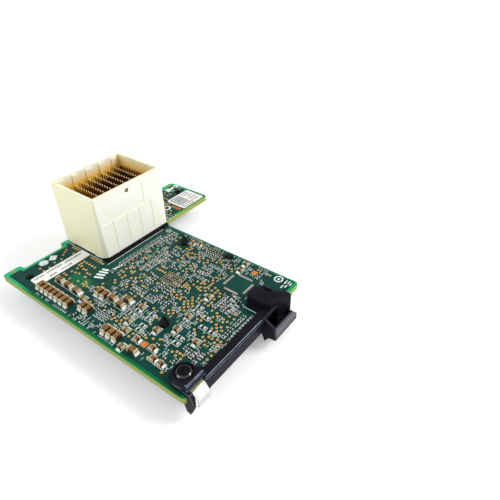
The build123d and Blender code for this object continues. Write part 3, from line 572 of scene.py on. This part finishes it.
# Blocks of vias between them: the place of the first via, and the columns and rows.
for block in [
    (45.0, 39.8, 3, 3), (47.6, 40.6, 2, 3), (33.8, 25.0, 4, 3), (31.0, 29.0, 3, 2), (36.6, 23.0, 3, 2),
    (15.2, 52.6, 3, 1), (13.0, 57.0, 2, 2), (17.4, 66.4, 2, 2), (56.8, 76.0, 3, 2), (66.2, 72.0, 2, 3),
    (60.0, 80.0, 2, 2), (26.8, 48.8, 2, 2), (42.6, 20.2, 3, 2), (44.8, 16.6, 2, 2), (51.2, 12.0, 1, 3),
]:
    via_block(*block)


def bare(x, y):
    """Whether a place lies where the card's face is left plain."""
    plain = [
        (26.0, 50, 53.0, 58.8), (38.6, 46.8, 11.2, 20.2), (16.0, 22.4, 48.2, 56.4), (47.6, 55, 2, 9),
        (10.8, 19.2, 54.4, 64.6), (33, 38, 3, 8.4), (20, 24.4, 56.4, 63), (53.6, 60, 0, 60), (0, 12, 50, 60),
    ]
    return any(low_x < x < high_x and low_y < y < high_y for low_x, high_x, low_y, high_y in plain)


# What is left of the body is fitted loosely: low draws put a chip there, the next ones a via or a mark.
column_step, row_step = 1.25, 0.98
chip_below, via_below, mark_below = 0.24, 0.33, 0.55
for row in range(58):
    for column in range(42):
        x = 3.0 + column * column_step + picks.uniform(-0.15, 0.15)
        y = 2.9 + row * row_step + picks.uniform(-0.1, 0.1)
        draw = picks.random()
        if bare(x, y):
            continue
        if draw < chip_below:
            chip_rows(x, y, 1, 1, 0, 0, picks.random() < 0.6)
        elif draw < via_below and claim(x, y, via_room, via_room):
            via_places.append((x, y))
        elif draw < mark_below and claim(x, y, 1.4, 0.9):
            mark_places.append((x, y))
# The ear is fitted more loosely.
ear_step_x, ear_step_y = 1.6, 1.5
ear_turned_below, ear_chip_below, ear_via_below = 0.12, 0.22, 0.34
for row in range(12):
    for column in range(15):
        x, y = 57.4 + column * ear_step_x, 64.6 + row * ear_step_y
        draw = picks.random()
        if draw < ear_chip_below:
            chip_rows(x, y, 1, 1, 0, 0, draw < ear_turned_below, 0.4)
        elif draw < ear_via_below and claim(x, y, via_room, via_room):
            via_places.append((x, y))
# Beside the near boss four vias stand along the bar, with a close block of chips behind them.
for i in range(4):
    x, y = 11.5 + 1.77 * i, 3.7
    if claim(x, y, via_room, via_room):
        via_places.append((x, y))
for i in range(3):
    for j in range(5):
        x, y = 11.2 + 1.2 * i, 5.2 + 0.74 * j
        if claim(x, y, *chip_room):
            chip_places.append((x, y, False))

chips = lay(chip, [(on_card(x, y), math.pi / 2 * turned, (1, 1, 1)) for x, y, turned in chip_places])
settle(chips, "small_chips", None)

# The vias are laid only now, since some of them stand between the chips.
vias = lay(via, [(on_card(x, y), 0.0, (1, 1, 1)) for x, y in via_places])
settle(vias, "plated_vias", via_gold)

# Silk screen. White ink printed on the solder mask, a few hundredths of a millimetre thick.
# It frames the chips, runs in short rows of dots and dashes, and fills a few plain shapes.
ink_width, chip_ink, fine_ink = 0.18, 0.15, 0.13
ink_thickness = 0.04 * mm
ink_step, ink_steps = 0.002, 9
dash_step = 0.32
# Matt white ink that lets a little green through where it is thin.
ink = speckled("printed_white_ink", "#CFE4DB", "#F8FFFC", 0.25 * mm, 0.55, 0.7)
stroke = block_of((0.0, 0.0, 0.0), (mm, mm, ink_thickness))
strokes = []


def draw_line(start_x, start_y, end_x, end_y, width=ink_width, rise=0.0):
    """Adds one straight stroke of ink. Neighbours differ in height, so no two faces meet where they cross."""
    course = Vector((end_x - start_x, end_y - start_y))
    height = rise + ink_step * (len(strokes) % ink_steps)
    middle = on_card((start_x + end_x) / 2, (start_y + end_y) / 2, height)
    strokes.append((middle, math.atan2(course.y, course.x), (course.length, width, 1)))


def draw_frame(low_x, high_x, low_y, high_y, width=ink_width, rise=0.0):
    """Adds a rectangle of four strokes."""
    draw_line(low_x, low_y, high_x, low_y, width, rise)
    draw_line(low_x, high_y, high_x, high_y, width, rise)
    draw_line(low_x, low_y, low_x, high_y, width, rise)
    draw_line(high_x, low_y, high_x, high_y, width, rise)


def draw_ring(x, y, radius, width, parts=12):
    """Adds a plain ring of short strokes."""
    corners = []
    for i in range(parts + 1):
        turn = 2 * math.pi * i / parts
        corners.append((x + radius * math.cos(turn), y + radius * math.sin(turn)))
    for (start_x, start_y), (end_x, end_y) in zip(corners, corners[1:]):
        draw_line(start_x, start_y, end_x, end_y, width)


# Frames round the chips that are fitted already, apart from the row along the left edge.
for node, end, side in [
    ("power_capacitors", 1.0, 0.35), ("bulk_capacitors", 0.9, 0.35), ("chip_resistors", 0.75, 0.3),
]:
    for (low_x, high_x), (low_y, high_y) in fitted_boxes[node]:
        along_x = high_x - low_x > high_y - low_y
        reach_x, reach_y = (end, side) if along_x else (side, end)
        if node != "power_capacitors" or low_x > 6:
            draw_frame(low_x - reach_x, high_x + reach_x, low_y - reach_y, high_y + reach_y)
# Two strokes beside the small chips that have ink.
chip_reach, chip_shift = 0.72, 0.48
for x, y, turned in framed_places:
    for shift in (-chip_shift, chip_shift):
        if turned:
            draw_line(x + shift, y - chip_reach, x + shift, y + chip_reach, chip_ink)
        else:
            draw_line(x - chip_reach, y + shift, x + chip_reach, y + shift, chip_ink)
# Rows of four dots and dashes, with one such row at each chip before the connector.
mark_places += [(28.4 + 1.65 * i, 56.9) for i in range(13)]
for x, y in mark_places:
    for i in range(4):
        reach = picks.uniform(0.05, 0.26)
        draw_line(x + (i - 1.5) * dash_step, y - reach, x + (i - 1.5) * dash_step, y + reach, fine_ink)
# Two lines along the connector, and ticks along the left and the right edge.
draw_line(24.9, 59.4, 52.0, 59.4, 0.2)
draw_line(25.1, 62.5, 25.1, 83.3, 0.2)
for start in range(29, 67):
    if picks.random() < 0.75:
        draw_line(1.3, start, 1.9 + 0.4 * picks.random(), start + 0.1, fine_ink)
        draw_line(1.3, start + 0.4, 1.4 + 0.9 * picks.random(), start + 0.4, fine_ink)
for start in range(12, 50):
    if picks.random() < 0.6:
        draw_line(53.9, start, 54.3 + 0.7 * picks.random(), start, 0.16)
# Solid shapes: a disc's core and a diamond behind the long label, slanted bars by the clearing, a bar with
# two blocks on the ear, short bars by the front corner, and a line beside the far boss.
for line in [
    (11.2, 78.6, 13.4, 78.6, 2.4), (15.0, 77.6, 17.0, 79.4, 2.4), (17.9, 57.9, 19.2, 54.8, 0.8),
    (19.3, 58.4, 20.5, 55.4, 0.8), (20.7, 58.8, 21.9, 55.6, 0.8), (22.1, 58.9, 23.0, 56.5, 0.8),
    (24.5, 56.1, 25.3, 55.1, 0.5), (25.6, 55.9, 26.4, 54.9, 0.5), (26.7, 55.7, 27.5, 54.7, 0.5),
    (75.0, 79.9, 81.1, 79.9, 1.2), (75.6, 81.2, 75.6, 78.6, 1.5), (80.6, 81.2, 80.6, 78.6, 1.5),
    (49.8, 3.5, 51.5, 3.5, 0.4), (50.7, 2.5, 52.3, 2.5, 0.4), (52.2, 3.6, 54.3, 3.6, 0.4),
    (52.9, 2.6, 54.4, 2.6, 0.4), (52.4, 1.7, 54.0, 1.7, 0.4), (36.5, 9.0, 35.8, 8.0, 0.25),
    (35.8, 8.0, 35.7, 3.2, 0.25),
]:
    draw_line(*line)
# The disc's rim, a target by the front corner, and rings before the connector and on the ear.
draw_ring(12.3, 78.6, 1.2, 0.9)
draw_ring(53.2, 6.4, 1.4, 0.45)
draw_line(52.75, 6.4, 53.65, 6.4, 0.8)
draw_ring(52.6, 56.9, 0.9, 0.22)
draw_ring(64.4, 69.6, 1.4, 0.75)
silk = lay(stroke, strokes, keep=True)
settle(silk, "silk_screen", ink)

# Label print. Grey ink on both labels, printed before they are stuck to the card.
# It runs in rows of upright bars of uneven height, with nested squares on the ear's label.
strokes.clear()
label_rise = (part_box("address_label")[1][2] - card_face) / mm
bar_width = 0.24
square_ink = 0.45
# Dark grey ink, uneven enough to read as fine print from afar.
grey_ink = speckled("printed_grey_ink", "#24242C", "#4C4C56", 0.4 * mm, 0.5, 0.7)


def draw_bars(start_x, end_x, y, height):
    """Adds one row of upright bars of uneven height."""
    x = start_x
    while x < end_x:
        foot = y - height / 2 * picks.uniform(0.5, 1.0)
        draw_line(x, foot, x, foot + height * picks.uniform(0.6, 1.0), bar_width, label_rise)
        x += picks.uniform(0.36, 0.5)


# Rows of bars: the start and the end, the middle line and the height.
for row in [
    (5.1, 8.2, 72.6, 0.9), (9.7, 15.6, 72.6, 0.9), (16.8, 23.6, 72.4, 0.9), (9.3, 12.0, 70.2, 0.8),
    (13.9, 18.2, 70.2, 0.8), (75.5, 79.3, 72.3, 0.7), (76.4, 79.0, 70.9, 0.7), (76.5, 79.4, 69.2, 0.7),
    (75.9, 79.7, 67.3, 0.8), (69.4, 79.2, 65.5, 0.6), (69.2, 75.4, 64.2, 0.6),
]:
    draw_bars(*row)
for inset in (0.0, 1.0, 1.9):
    draw_frame(69.6 + inset, 74.2 - inset, 66.7 + inset, 72.3 - inset, square_ink, label_rise)
print_marks = lay(stroke, strokes)
settle(print_marks, "label_print", grey_ink)

# Connector housing. A shroud of ivory liquid-crystal polymer, moulded in one piece and pressed into the card.
# Its thin walls let warm light through, and every edge of it is rounded a little.
housing_rounding = 0.12 * mm
sharp_angle = math.radians(30)
mouth_low, mouth_high = (26.4 * mm, 61.9 * mm), (55.0 * mm, 82.6 * mm)
gold_reflection_top, gold_reflection_bottom = 24.5 * mm, 20.4 * mm
peg_hole, peg_shade_reach = (39.9, 61.0, 22.3), 0.8 * mm


def finished_copy(node, edge, finishes, segments=2, clamp=True):
    """A merged copy of a CAD node with rounded edges. A second material goes to the rounded edges."""
    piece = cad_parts[node].copy()
    piece.data = piece.data.copy()
    piece.parent = None
    bpy.context.scene.collection.objects.link(piece)
    for key in list(piece.keys()):
        del piece[key]
    only(piece)
    if piece.data.has_custom_normals:
        bpy.ops.mesh.customdata_custom_splitnormals_clear()
    mode("EDIT")
    bpy.ops.mesh.select_all(action="SELECT")
    bpy.ops.mesh.remove_doubles(threshold=merge_distance)
    bpy.ops.mesh.dissolve_limited(angle_limit=math.radians(1))
    mode("OBJECT")
    rounding = piece.modifiers.new("rounding", "BEVEL")
    rounding.width = edge
    rounding.segments = segments
    rounding.angle_limit = sharp_angle
    rounding.use_clamp_overlap = clamp
    rounding.material = len(finishes) - 1
    piece.data.materials.clear()
    for finish in finishes:
        piece.data.materials.append(finish)
    bpy.ops.object.modifier_apply(modifier="rounding")
    bpy.ops.object.shade_smooth_by_angle(angle=sharp_angle)
    weighing = piece.modifiers.new("weighing", "WEIGHTED_NORMAL")
    weighing.keep_sharp = True
    bpy.ops.object.modifier_apply(modifier="weighing")
    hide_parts(node)
    return piece


# Warm ivory that lets some light through, with painted light that makes it almost white on the front wall.
# Inside the mouth a painted reflection of the gold contacts turns it amber, and painted shade darkens the peg
# hole.
ivory, tree, output = new_material("moulded_ivory_polymer")
clouds = noise(tree, 9 * mm, 5.0, 0.55)
colour = tones(tree, clouds, "#FFF8CE", "#FFFFDE")
# Painted light: faces turned to the front are mixed towards white.
front = span(tree, normal_of(tree).outputs[1], -0.5, -0.9)
front_lit_ivory = blend(tree, front, colour, "#FFFFF0")
place = place_of(tree)
mouth = within(tree, place, mouth_low, mouth_high)
# Painted reflection: deep in the mouth the ivory is mixed towards amber, as the gold contacts would light it.
depth = span(tree, place.outputs[2], card_high[2] + gold_reflection_top, card_high[2] + gold_reflection_bottom)
gold_reflection_share = combine(tree, "MULTIPLY", mouth, depth)
ivory_with_painted_light = blend(tree, gold_reflection_share, front_lit_ivory, "#F0C24A")
where = add(tree, "TexCoord").outputs["Object"]
# Painted shade: round the peg hole the ivory is near black-brown.
from_peg = add(tree, "VectorMath", {0: where, 1: on_card(*peg_hole)}, operation="DISTANCE").outputs["Value"]
peg_hole_shade = combine(tree, "LESS_THAN", from_peg, peg_shade_reach)
ivory_with_painted_light = blend(tree, peg_hole_shade, ivory_with_painted_light, "#2A1608")
texture = bumps(tree, noise(tree, 0.25 * mm), 0.3, 0.02 * mm)
coat(tree, output, {
    "Base Color": ivory_with_painted_light, "Roughness": 0.5, "Normal": texture, "Subsurface Weight": 0.25,
    "Subsurface Radius": (1.0, 0.7, 0.3), "Subsurface Scale": 0.8 * mm,
})
housing = finished_copy("connector_housing", housing_rounding, [ivory])
settle(housing, "connector_shroud", None)

# Contact wafers. Ten slabs moulded of dark brown polymer, stacked side by side in the shroud.
# They hold the contacts, and their toes run out under the front wall as one black scalloped strip.
# Deep brown inside the mouth and black outside it, with hardly a shine.
wafer_plastic, tree, output = new_material("moulded_brown_polymer")
mouth = within(tree, place_of(tree), mouth_low, mouth_high)
grains = noise(tree, 0.6 * mm, 3.0)
colour = blend(tree, mouth, "#060504", tones(tree, grains, "#140602", "#2E1006"))
gloss = uneven(tree, grains, 0.5, 0.7)
coat(tree, output, {"Base Color": colour, "Roughness": gloss, "Specular IOR Level": 0.1})
dress("connector_wafers", wafer_plastic)

# Signal contacts. Tapered copper-alloy tips in ten rows of fifteen, stamped, and gold-plated where they mate.
# Painted light makes only their tips show, as pale dots, and lights more of the gold sides of the rows at the
# left.
sunlit_end, shaded_start = 29 * mm, 37 * mm
# Painted shade makes them brown low in the mouth, and painted light makes them gold higher up and pale gold
# at the very tips, a painted highlight.
contact_gold, tree, output = new_material("selective_gold_plating")
place = place_of(tree)
contact_low, contact_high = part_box("signal_contacts")
rise = span(tree, place.outputs[2], contact_low[2], contact_high[2])
shaded = add(tree, "ValToRGB", {0: rise}, [
    (0.0, "#1C0802"), (0.78, "#5A2C0A"), (0.87, "#D48C28"), (0.95, "#FFF2C4"),
])
sunlit = add(tree, "ValToRGB", {0: rise}, [
    (0.0, "#5A2A08"), (0.45, "#C07814"), (0.8, "#FFB830"), (0.95, "#FFF2C4"),
])
# Painted light: the rows at the left take the lit ramp, and those at the right take the shaded one.
leftward = span(tree, place.outputs[0], card_low[0] + sunlit_end, card_low[0] + shaded_start, 1.0, 0.0)
painted_lit_gold = blend(tree, leftward, shaded.outputs[0], sunlit.outputs[0])
gloss = uneven(tree, noise(tree, 0.5 * mm), 0.25, 0.4)
coat(tree, output, {"Base Color": painted_lit_gold, "Roughness": gloss, "Metallic": 0.3})
dress("signal_contacts", contact_gold)

# Latch bracket. One moulding of black glass-filled nylon along the card's front edge, held by two screws.
# It wraps the edge as a bar, with a boss at each end, two cheeks at the clip and a pull for a finger.
bracket_rounding = 0.14 * mm
lip_low, lip_high = (33 * mm, -5.6 * mm), (47 * mm, -4.9 * mm)
lip_foot, lip_top = -6 * mm, 1.4 * mm
# Matt black with a fine grain. A painted sheen turns the lip of the pull grey, strongest at its top.
bracket_black, tree, output = new_material("moulded_black_nylon")
grain = bumps(tree, noise(tree, 0.3 * mm, 3.0), 0.25, 0.02 * mm)
flow = noise(tree, 7 * mm)
colour = tones(tree, flow, "#16141A", "#1F1D24")
place = place_of(tree)
# Painted sheen: the lip of the pull is mixed towards grey, more so higher up.
lip = within(tree, place, lip_low, lip_high)
sheen_rise = span(tree, place.outputs[2], card_face + lip_foot, card_face + lip_top, 0.1, 1.0)
lip_sheen = combine(tree, "MULTIPLY", lip, sheen_rise)
black_with_lip_sheen = blend(tree, lip_sheen, colour, "#8A8990")
gloss = uneven(tree, flow, 0.3, 0.45)
coat(tree, output, {
    "Base Color": black_with_lip_sheen, "Roughness": gloss, "Normal": grain,
    "Specular IOR Level": 0.07, "Specular Tint": linear("#C4CCFF"),
})

# A painted highlight: a cool line of light on the rounded edges. Only edges that face up and to the front
# have it.
# The tops of the bosses, the back of the bar and the pull are spared.
highlight_way = (-0.35, -0.62, 0.70)
spared_height, top_height = 2.6 * mm, 3.4 * mm
spared_back, spared_right = 1.3 * mm, 33 * mm
painted_edge_highlight, tree, output = new_material("nylon_edge_painted_highlight")
place = place_of(tree)
normal = add(tree, "NewGeometry").outputs["Normal"]
along = add(tree, "VectorMath", {0: normal, 1: highlight_way}, operation="DOT_PRODUCT").outputs["Value"]
highlight_share = span(tree, along, 0.66, 0.78)


def beyond(axis, value):
    """One where a place on the bracket lies past a value along an axis, and zero before it."""
    return combine(tree, "GREATER_THAN", place.outputs[axis], value)


high = beyond(2, card_face + spared_height)
behind = beyond(1, card_low[1] + spared_back)
spared = combine(tree, "MULTIPLY", high, behind)
for past in (beyond(2, card_face + top_height), beyond(0, card_low[0] + spared_right)):
    spared = combine(tree, "MAXIMUM", spared, past)
highlight_share = combine(tree, "SUBTRACT", highlight_share, spared, use_clamp=True)
# Painted highlight: edges that face the light are mixed towards a pale blue-grey.
highlight_tone = tones(tree, noise(tree, 2.5 * mm, 3.0), "#3E4C5E", "#8192A6")
edge_colour = blend(tree, highlight_share, "#17151B", highlight_tone)
sheen = span(tree, highlight_share, 0.0, 1.0, 0.07, 0.4)
coat(tree, output, {"Base Color": edge_colour, "Roughness": 0.3, "Specular IOR Level": sheen})
bracket = finished_copy("latch_bracket", bracket_rounding, [bracket_black, painted_edge_highlight], clamp=False)
settle(bracket, "latch_moulding", None)

# Spring clip. A strip of bright stainless spring steel, bent over the front edge between the two cheeks.
# Its tab is held under the near boss, and its free end curls in below the card.
clip_rounding = 0.06 * mm
# Rolled steel, partly metallic, whose colour holds painted light by the way each face turns: a painted
# reflection of the white room on its face, greyer lower down, and painted warm shade with an olive painted
# reflection on its flat top under the boss.
clip_steel, tree, output = new_material("bent_spring_steel")
# Painted light: the colour follows the upward turn of each face.
shade = add(tree, "ValToRGB", {0: normal_of(tree).outputs[2]}, [
    (0.1, "#CFD1D5"), (0.55, "#F2F2F3"), (0.76, "#FBFBFB"), (0.85, "#5C5448"), (0.92, "#A8A678"),
])
gloss = uneven(tree, noise(tree, 1.5 * mm), 0.22, 0.36)
coat(tree, output, {"Base Color": shade.outputs[0], "Roughness": gloss, "Metallic": 0.5})
clip = finished_copy("spring_clip", clip_rounding, [clip_steel])
settle(clip, "steel_clip", None)

# Screws and nut. Turned from steel and blackened, they hold the bracket's two bosses to the card.
# The near screw has a low dome that shows in its boss, and the nut grips it under the card.
screw_rounding, screw_segments = 0.32 * mm, 4
black_grain = 0.4 * mm
# Black oxide whose top stays dark. The rim of each dome is rubbed smooth, so it glints on two sides.
screw_steel, tree, output = new_material("rubbed_blackened_steel")
dome_rim = span(tree, normal_of(tree).outputs[2], 0.985, 0.9, 0.12, 1.0)
flecks = noise(tree, black_grain)
tone = tones(tree, flecks, "#08080A", "#101013")
gloss = uneven(tree, flecks, 0.1, 0.16)
coat(tree, output, {"Base Color": tone, "Roughness": gloss, "Specular IOR Level": dome_rim})
screws = finished_copy("bracket_screws", screw_rounding, [screw_steel], screw_segments)
settle(screws, "rounded_screws", None)
# The same black finish on the nut, with an even low shine.
black_oxide = speckled("blackened_steel", "#08080A", "#101013", black_grain, 0.12, 0.18, shine=0.25)
dress("bracket_nut", black_oxide)

# Large chip capacitors. Fired ceramic, 3.2 by 1.6 mm and 2 by 1.25 mm, with a cap of tin on each end.
# They stand in rows along the left of the card, and their edges are tumbled round.
capacitor_rounding = 0.10 * mm
# Tan-brown ceramic, with painted shade that makes its upright sides much darker, as in the gaps between them.
brown_ceramic = speckled(
    "fired_brown_ceramic", "#5A3B14", "#9A723A", 1.0 * mm, 0.35, 0.55, relief=0.02 * mm, sides="#3C1A0C"
)
# Dull tin, with a painted yellow reflection of the ceramic beside it.
pale_tin = speckled("dull_tin_on_ceramic", "#B4A678", "#E2D8B6", 0.5 * mm, 0.35, 0.6, metallic=0.2)
for node, finish, slot in [
    ("power_capacitors", brown_ceramic, "brown_ceramic"), ("bulk_capacitors", brown_ceramic, "brown_ceramic"),
    ("power_capacitor_ends", pale_tin, "tin"), ("bulk_capacitor_ends", pale_tin, "tin"),
]:
    settle(finished_copy(node, capacitor_rounding, [finish]), node + "_rounded", None)

# Solder fillets. Solder that has climbed the ends of the large capacitors and slopes down to their pads.
# Each is a wedge with its upper corner cut off.
fillet_reach = 0.5
cut_place = (0.55 * mm, 0.0, 0.3 * mm)
# Bright reflowed solder, the whitest metal on the card.
bright_solder = speckled("reflowed_bright_solder", "#E4E0D4", "#FFFFFC", 0.4 * mm, 0.25, 0.45, metallic=0.15)
wedge = block_of((0.5 * mm, 0.0, 0.5 * mm), (mm, mm, mm))
mode("EDIT")
bpy.ops.mesh.select_all(action="SELECT")
bpy.ops.mesh.bisect(plane_co=cut_place, plane_no=(1.0, 0.0, 1.0), use_fill=True, clear_outer=True)
mode("OBJECT")
fillets = []
for node, end, height in [("power_capacitors", 0.5, 0.9), ("bulk_capacitors", 0.4, 0.7)]:
    for (low_x, high_x), (low_y, high_y) in fitted_boxes[node]:
        width, depth = high_x - low_x, high_y - low_y
        middle_x, middle_y = (low_x + high_x) / 2, (low_y + high_y) / 2
        if width > depth:
            ends = [(high_x + end, middle_y, 0.0), (low_x - end, middle_y, math.pi)]
        else:
            ends = [(middle_x, high_y + end, math.pi / 2), (middle_x, low_y - end, -math.pi / 2)]
        for x, y, turn in ends:
            fillets.append((on_card(x, y), turn, (fillet_reach, min(width, depth), height)))
settle(lay(wedge, fillets), "solder_fillets", bright_solder)

# Decoupling capacitors. Small ceramic chips in a close array on the 1 mm grid of the controller's balls.
# They are soldered to the card on the side away from the controller.
dress("decoupling_capacitors", dark_ceramic)
# Tin, with a painted gold reflection of the many vias round it.
warm_tin = speckled("tin_with_painted_gold_reflection", "#A98A50", "#F2E6BE", 0.3 * mm, 0.3, 0.5, metallic=0.2)
dress("decoupling_capacitor_ends", warm_tin)

# Chip resistors. Ceramic chips with tinned ends, a little larger than the loose ones.
# They have the same dark ceramic and the same bright tin.
dress("chip_resistors", dark_ceramic)
dress("chip_resistor_ends", tin)

# Driver chip. A small package moulded of black epoxy, soldered beside the bracket's bar.
# Its faces are flat, with a dusty grain from the mould.
# Matt black with a weak, even shine.
epoxy = speckled(
    "moulded_black_epoxy", "#08080A", "#161618", 0.3 * mm, 0.4, 0.6, relief=0.01 * mm, shine=0.25
)
dress("driver_chip", epoxy)

# Test pads, fiducials and the ear's contacts. Flat copper pads, open in the solder mask and gold-plated.
# They stand out as plain spots in the card's face.
# Flat orange gold, redder than the rings of the vias.
pad_gold = speckled("flat_gold_pad", "#DE7F2E", "#F09A4A", 0.6 * mm, 0.35, 0.5, metallic=0.5)
for node in ("test_pads", "fiducials", "ear_contacts"):
    dress(node, pad_gold)

# Footprint lands. Four bare strips of pads round the place of a chip that is not fitted.
# Levelled solder has turned them dull: grey with a faint pink.
land_tin = speckled("levelled_solder", "#9C8D86", "#C6B8B0", 0.8 * mm, 0.3, 0.5, metallic=0.4)
dress("footprint_lands", land_tin)

# Labels. Two pieces of thin white film, the long one behind the capacitors and a square one on the ear.
# Both are stuck flat on the card.
# Clean white with a soft satin shine, the brightest field on the card.
film = speckled("white_label_film", "#ECECE8", "#FAFAF7", 3 * mm, 0.45, 0.6)
for node in ("address_label", "part_label"):
    dress(node, film)

# Controller. A package of green substrate, soldered under the card, with a stamped metal lid glued on.
# It drives the card, and its lid passes the heat on.
# Satin green substrate, like the card but more even.
substrate = speckled("green_substrate", "#0C4A33", "#14664A", 0.8 * mm, 0.4, 0.55)
dress("controller_chip", substrate)
# Warm grey nickel that mirrors softly.
nickel = speckled("plated_nickel", "#A9A7A0", "#CFCDC6", 1.0 * mm, 0.2, 0.4, metallic=1.0)
dress("controller_lid", nickel)

# Thermal pad. A soft grey sheet, filled with ceramic powder and pressed between the lid and the heat sink.
# It looks dead matt, like putty.
pad_grey = speckled("soft_grey_pad", "#74747C", "#92929A", 0.5 * mm, 0.8, 0.95)
dress("thermal_pad", pad_grey)

# Heat sink. Extruded aluminium, sawn to length and left bare, held against the pad by the two push pins.
# Its fins reach down to the table, and the card rests on their ends.
# Pale metal with a soft silvery shine.
aluminium = speckled("extruded_aluminium", "#B4B6BA", "#D6D8DB", 1.5 * mm, 0.25, 0.42, metallic=1.0)
dress("heat_sink", aluminium)

# Push pins. Moulded of black nylon and pushed up through the sink and the card, where their tips spring open.
# They share the matt black of the moulded packages.
dress("push_pins", epoxy)

# Springs of the push pins. Coils of spring-steel wire that press the heat sink against the controller.
# Bright wire, lightly worn.
bright_steel = speckled("rolled_spring_steel", "#EDEDEC", "#FFFFFF", 1.5 * mm, 0.22, 0.36, metallic=0.55)
dress("push_pin_springs", bright_steel)

# Flash memory. A small package of black epoxy under the card, with two rows of tinned leads.
# It keeps the controller's settings.
dress("flash_memory", epoxy)
dress("flash_memory_leads", tin)

# Clock oscillator. A shallow can of white ceramic under the card, closed with a nickel-plated lid.
# Chalky white ceramic with a grey cast, beside the soft mirror of its lid.
white_ceramic = speckled("white_ceramic", "#B9B2A4", "#D8D2C4", 0.5 * mm, 0.5, 0.7)
dress("clock_oscillator", white_ceramic)
dress("clock_oscillator_lid", nickel)

# Power inductor. A block pressed of iron powder round its coil, under the card, with two tinned ends.
# Rough dark grey, like cast metal.
iron_powder = speckled("pressed_iron_powder", "#2B2B2D", "#47474A", 0.3 * mm, 0.6, 0.8, relief=0.02 * mm)
dress("power_inductor", iron_powder)
dress("power_inductor_ends", tin)

low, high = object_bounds()
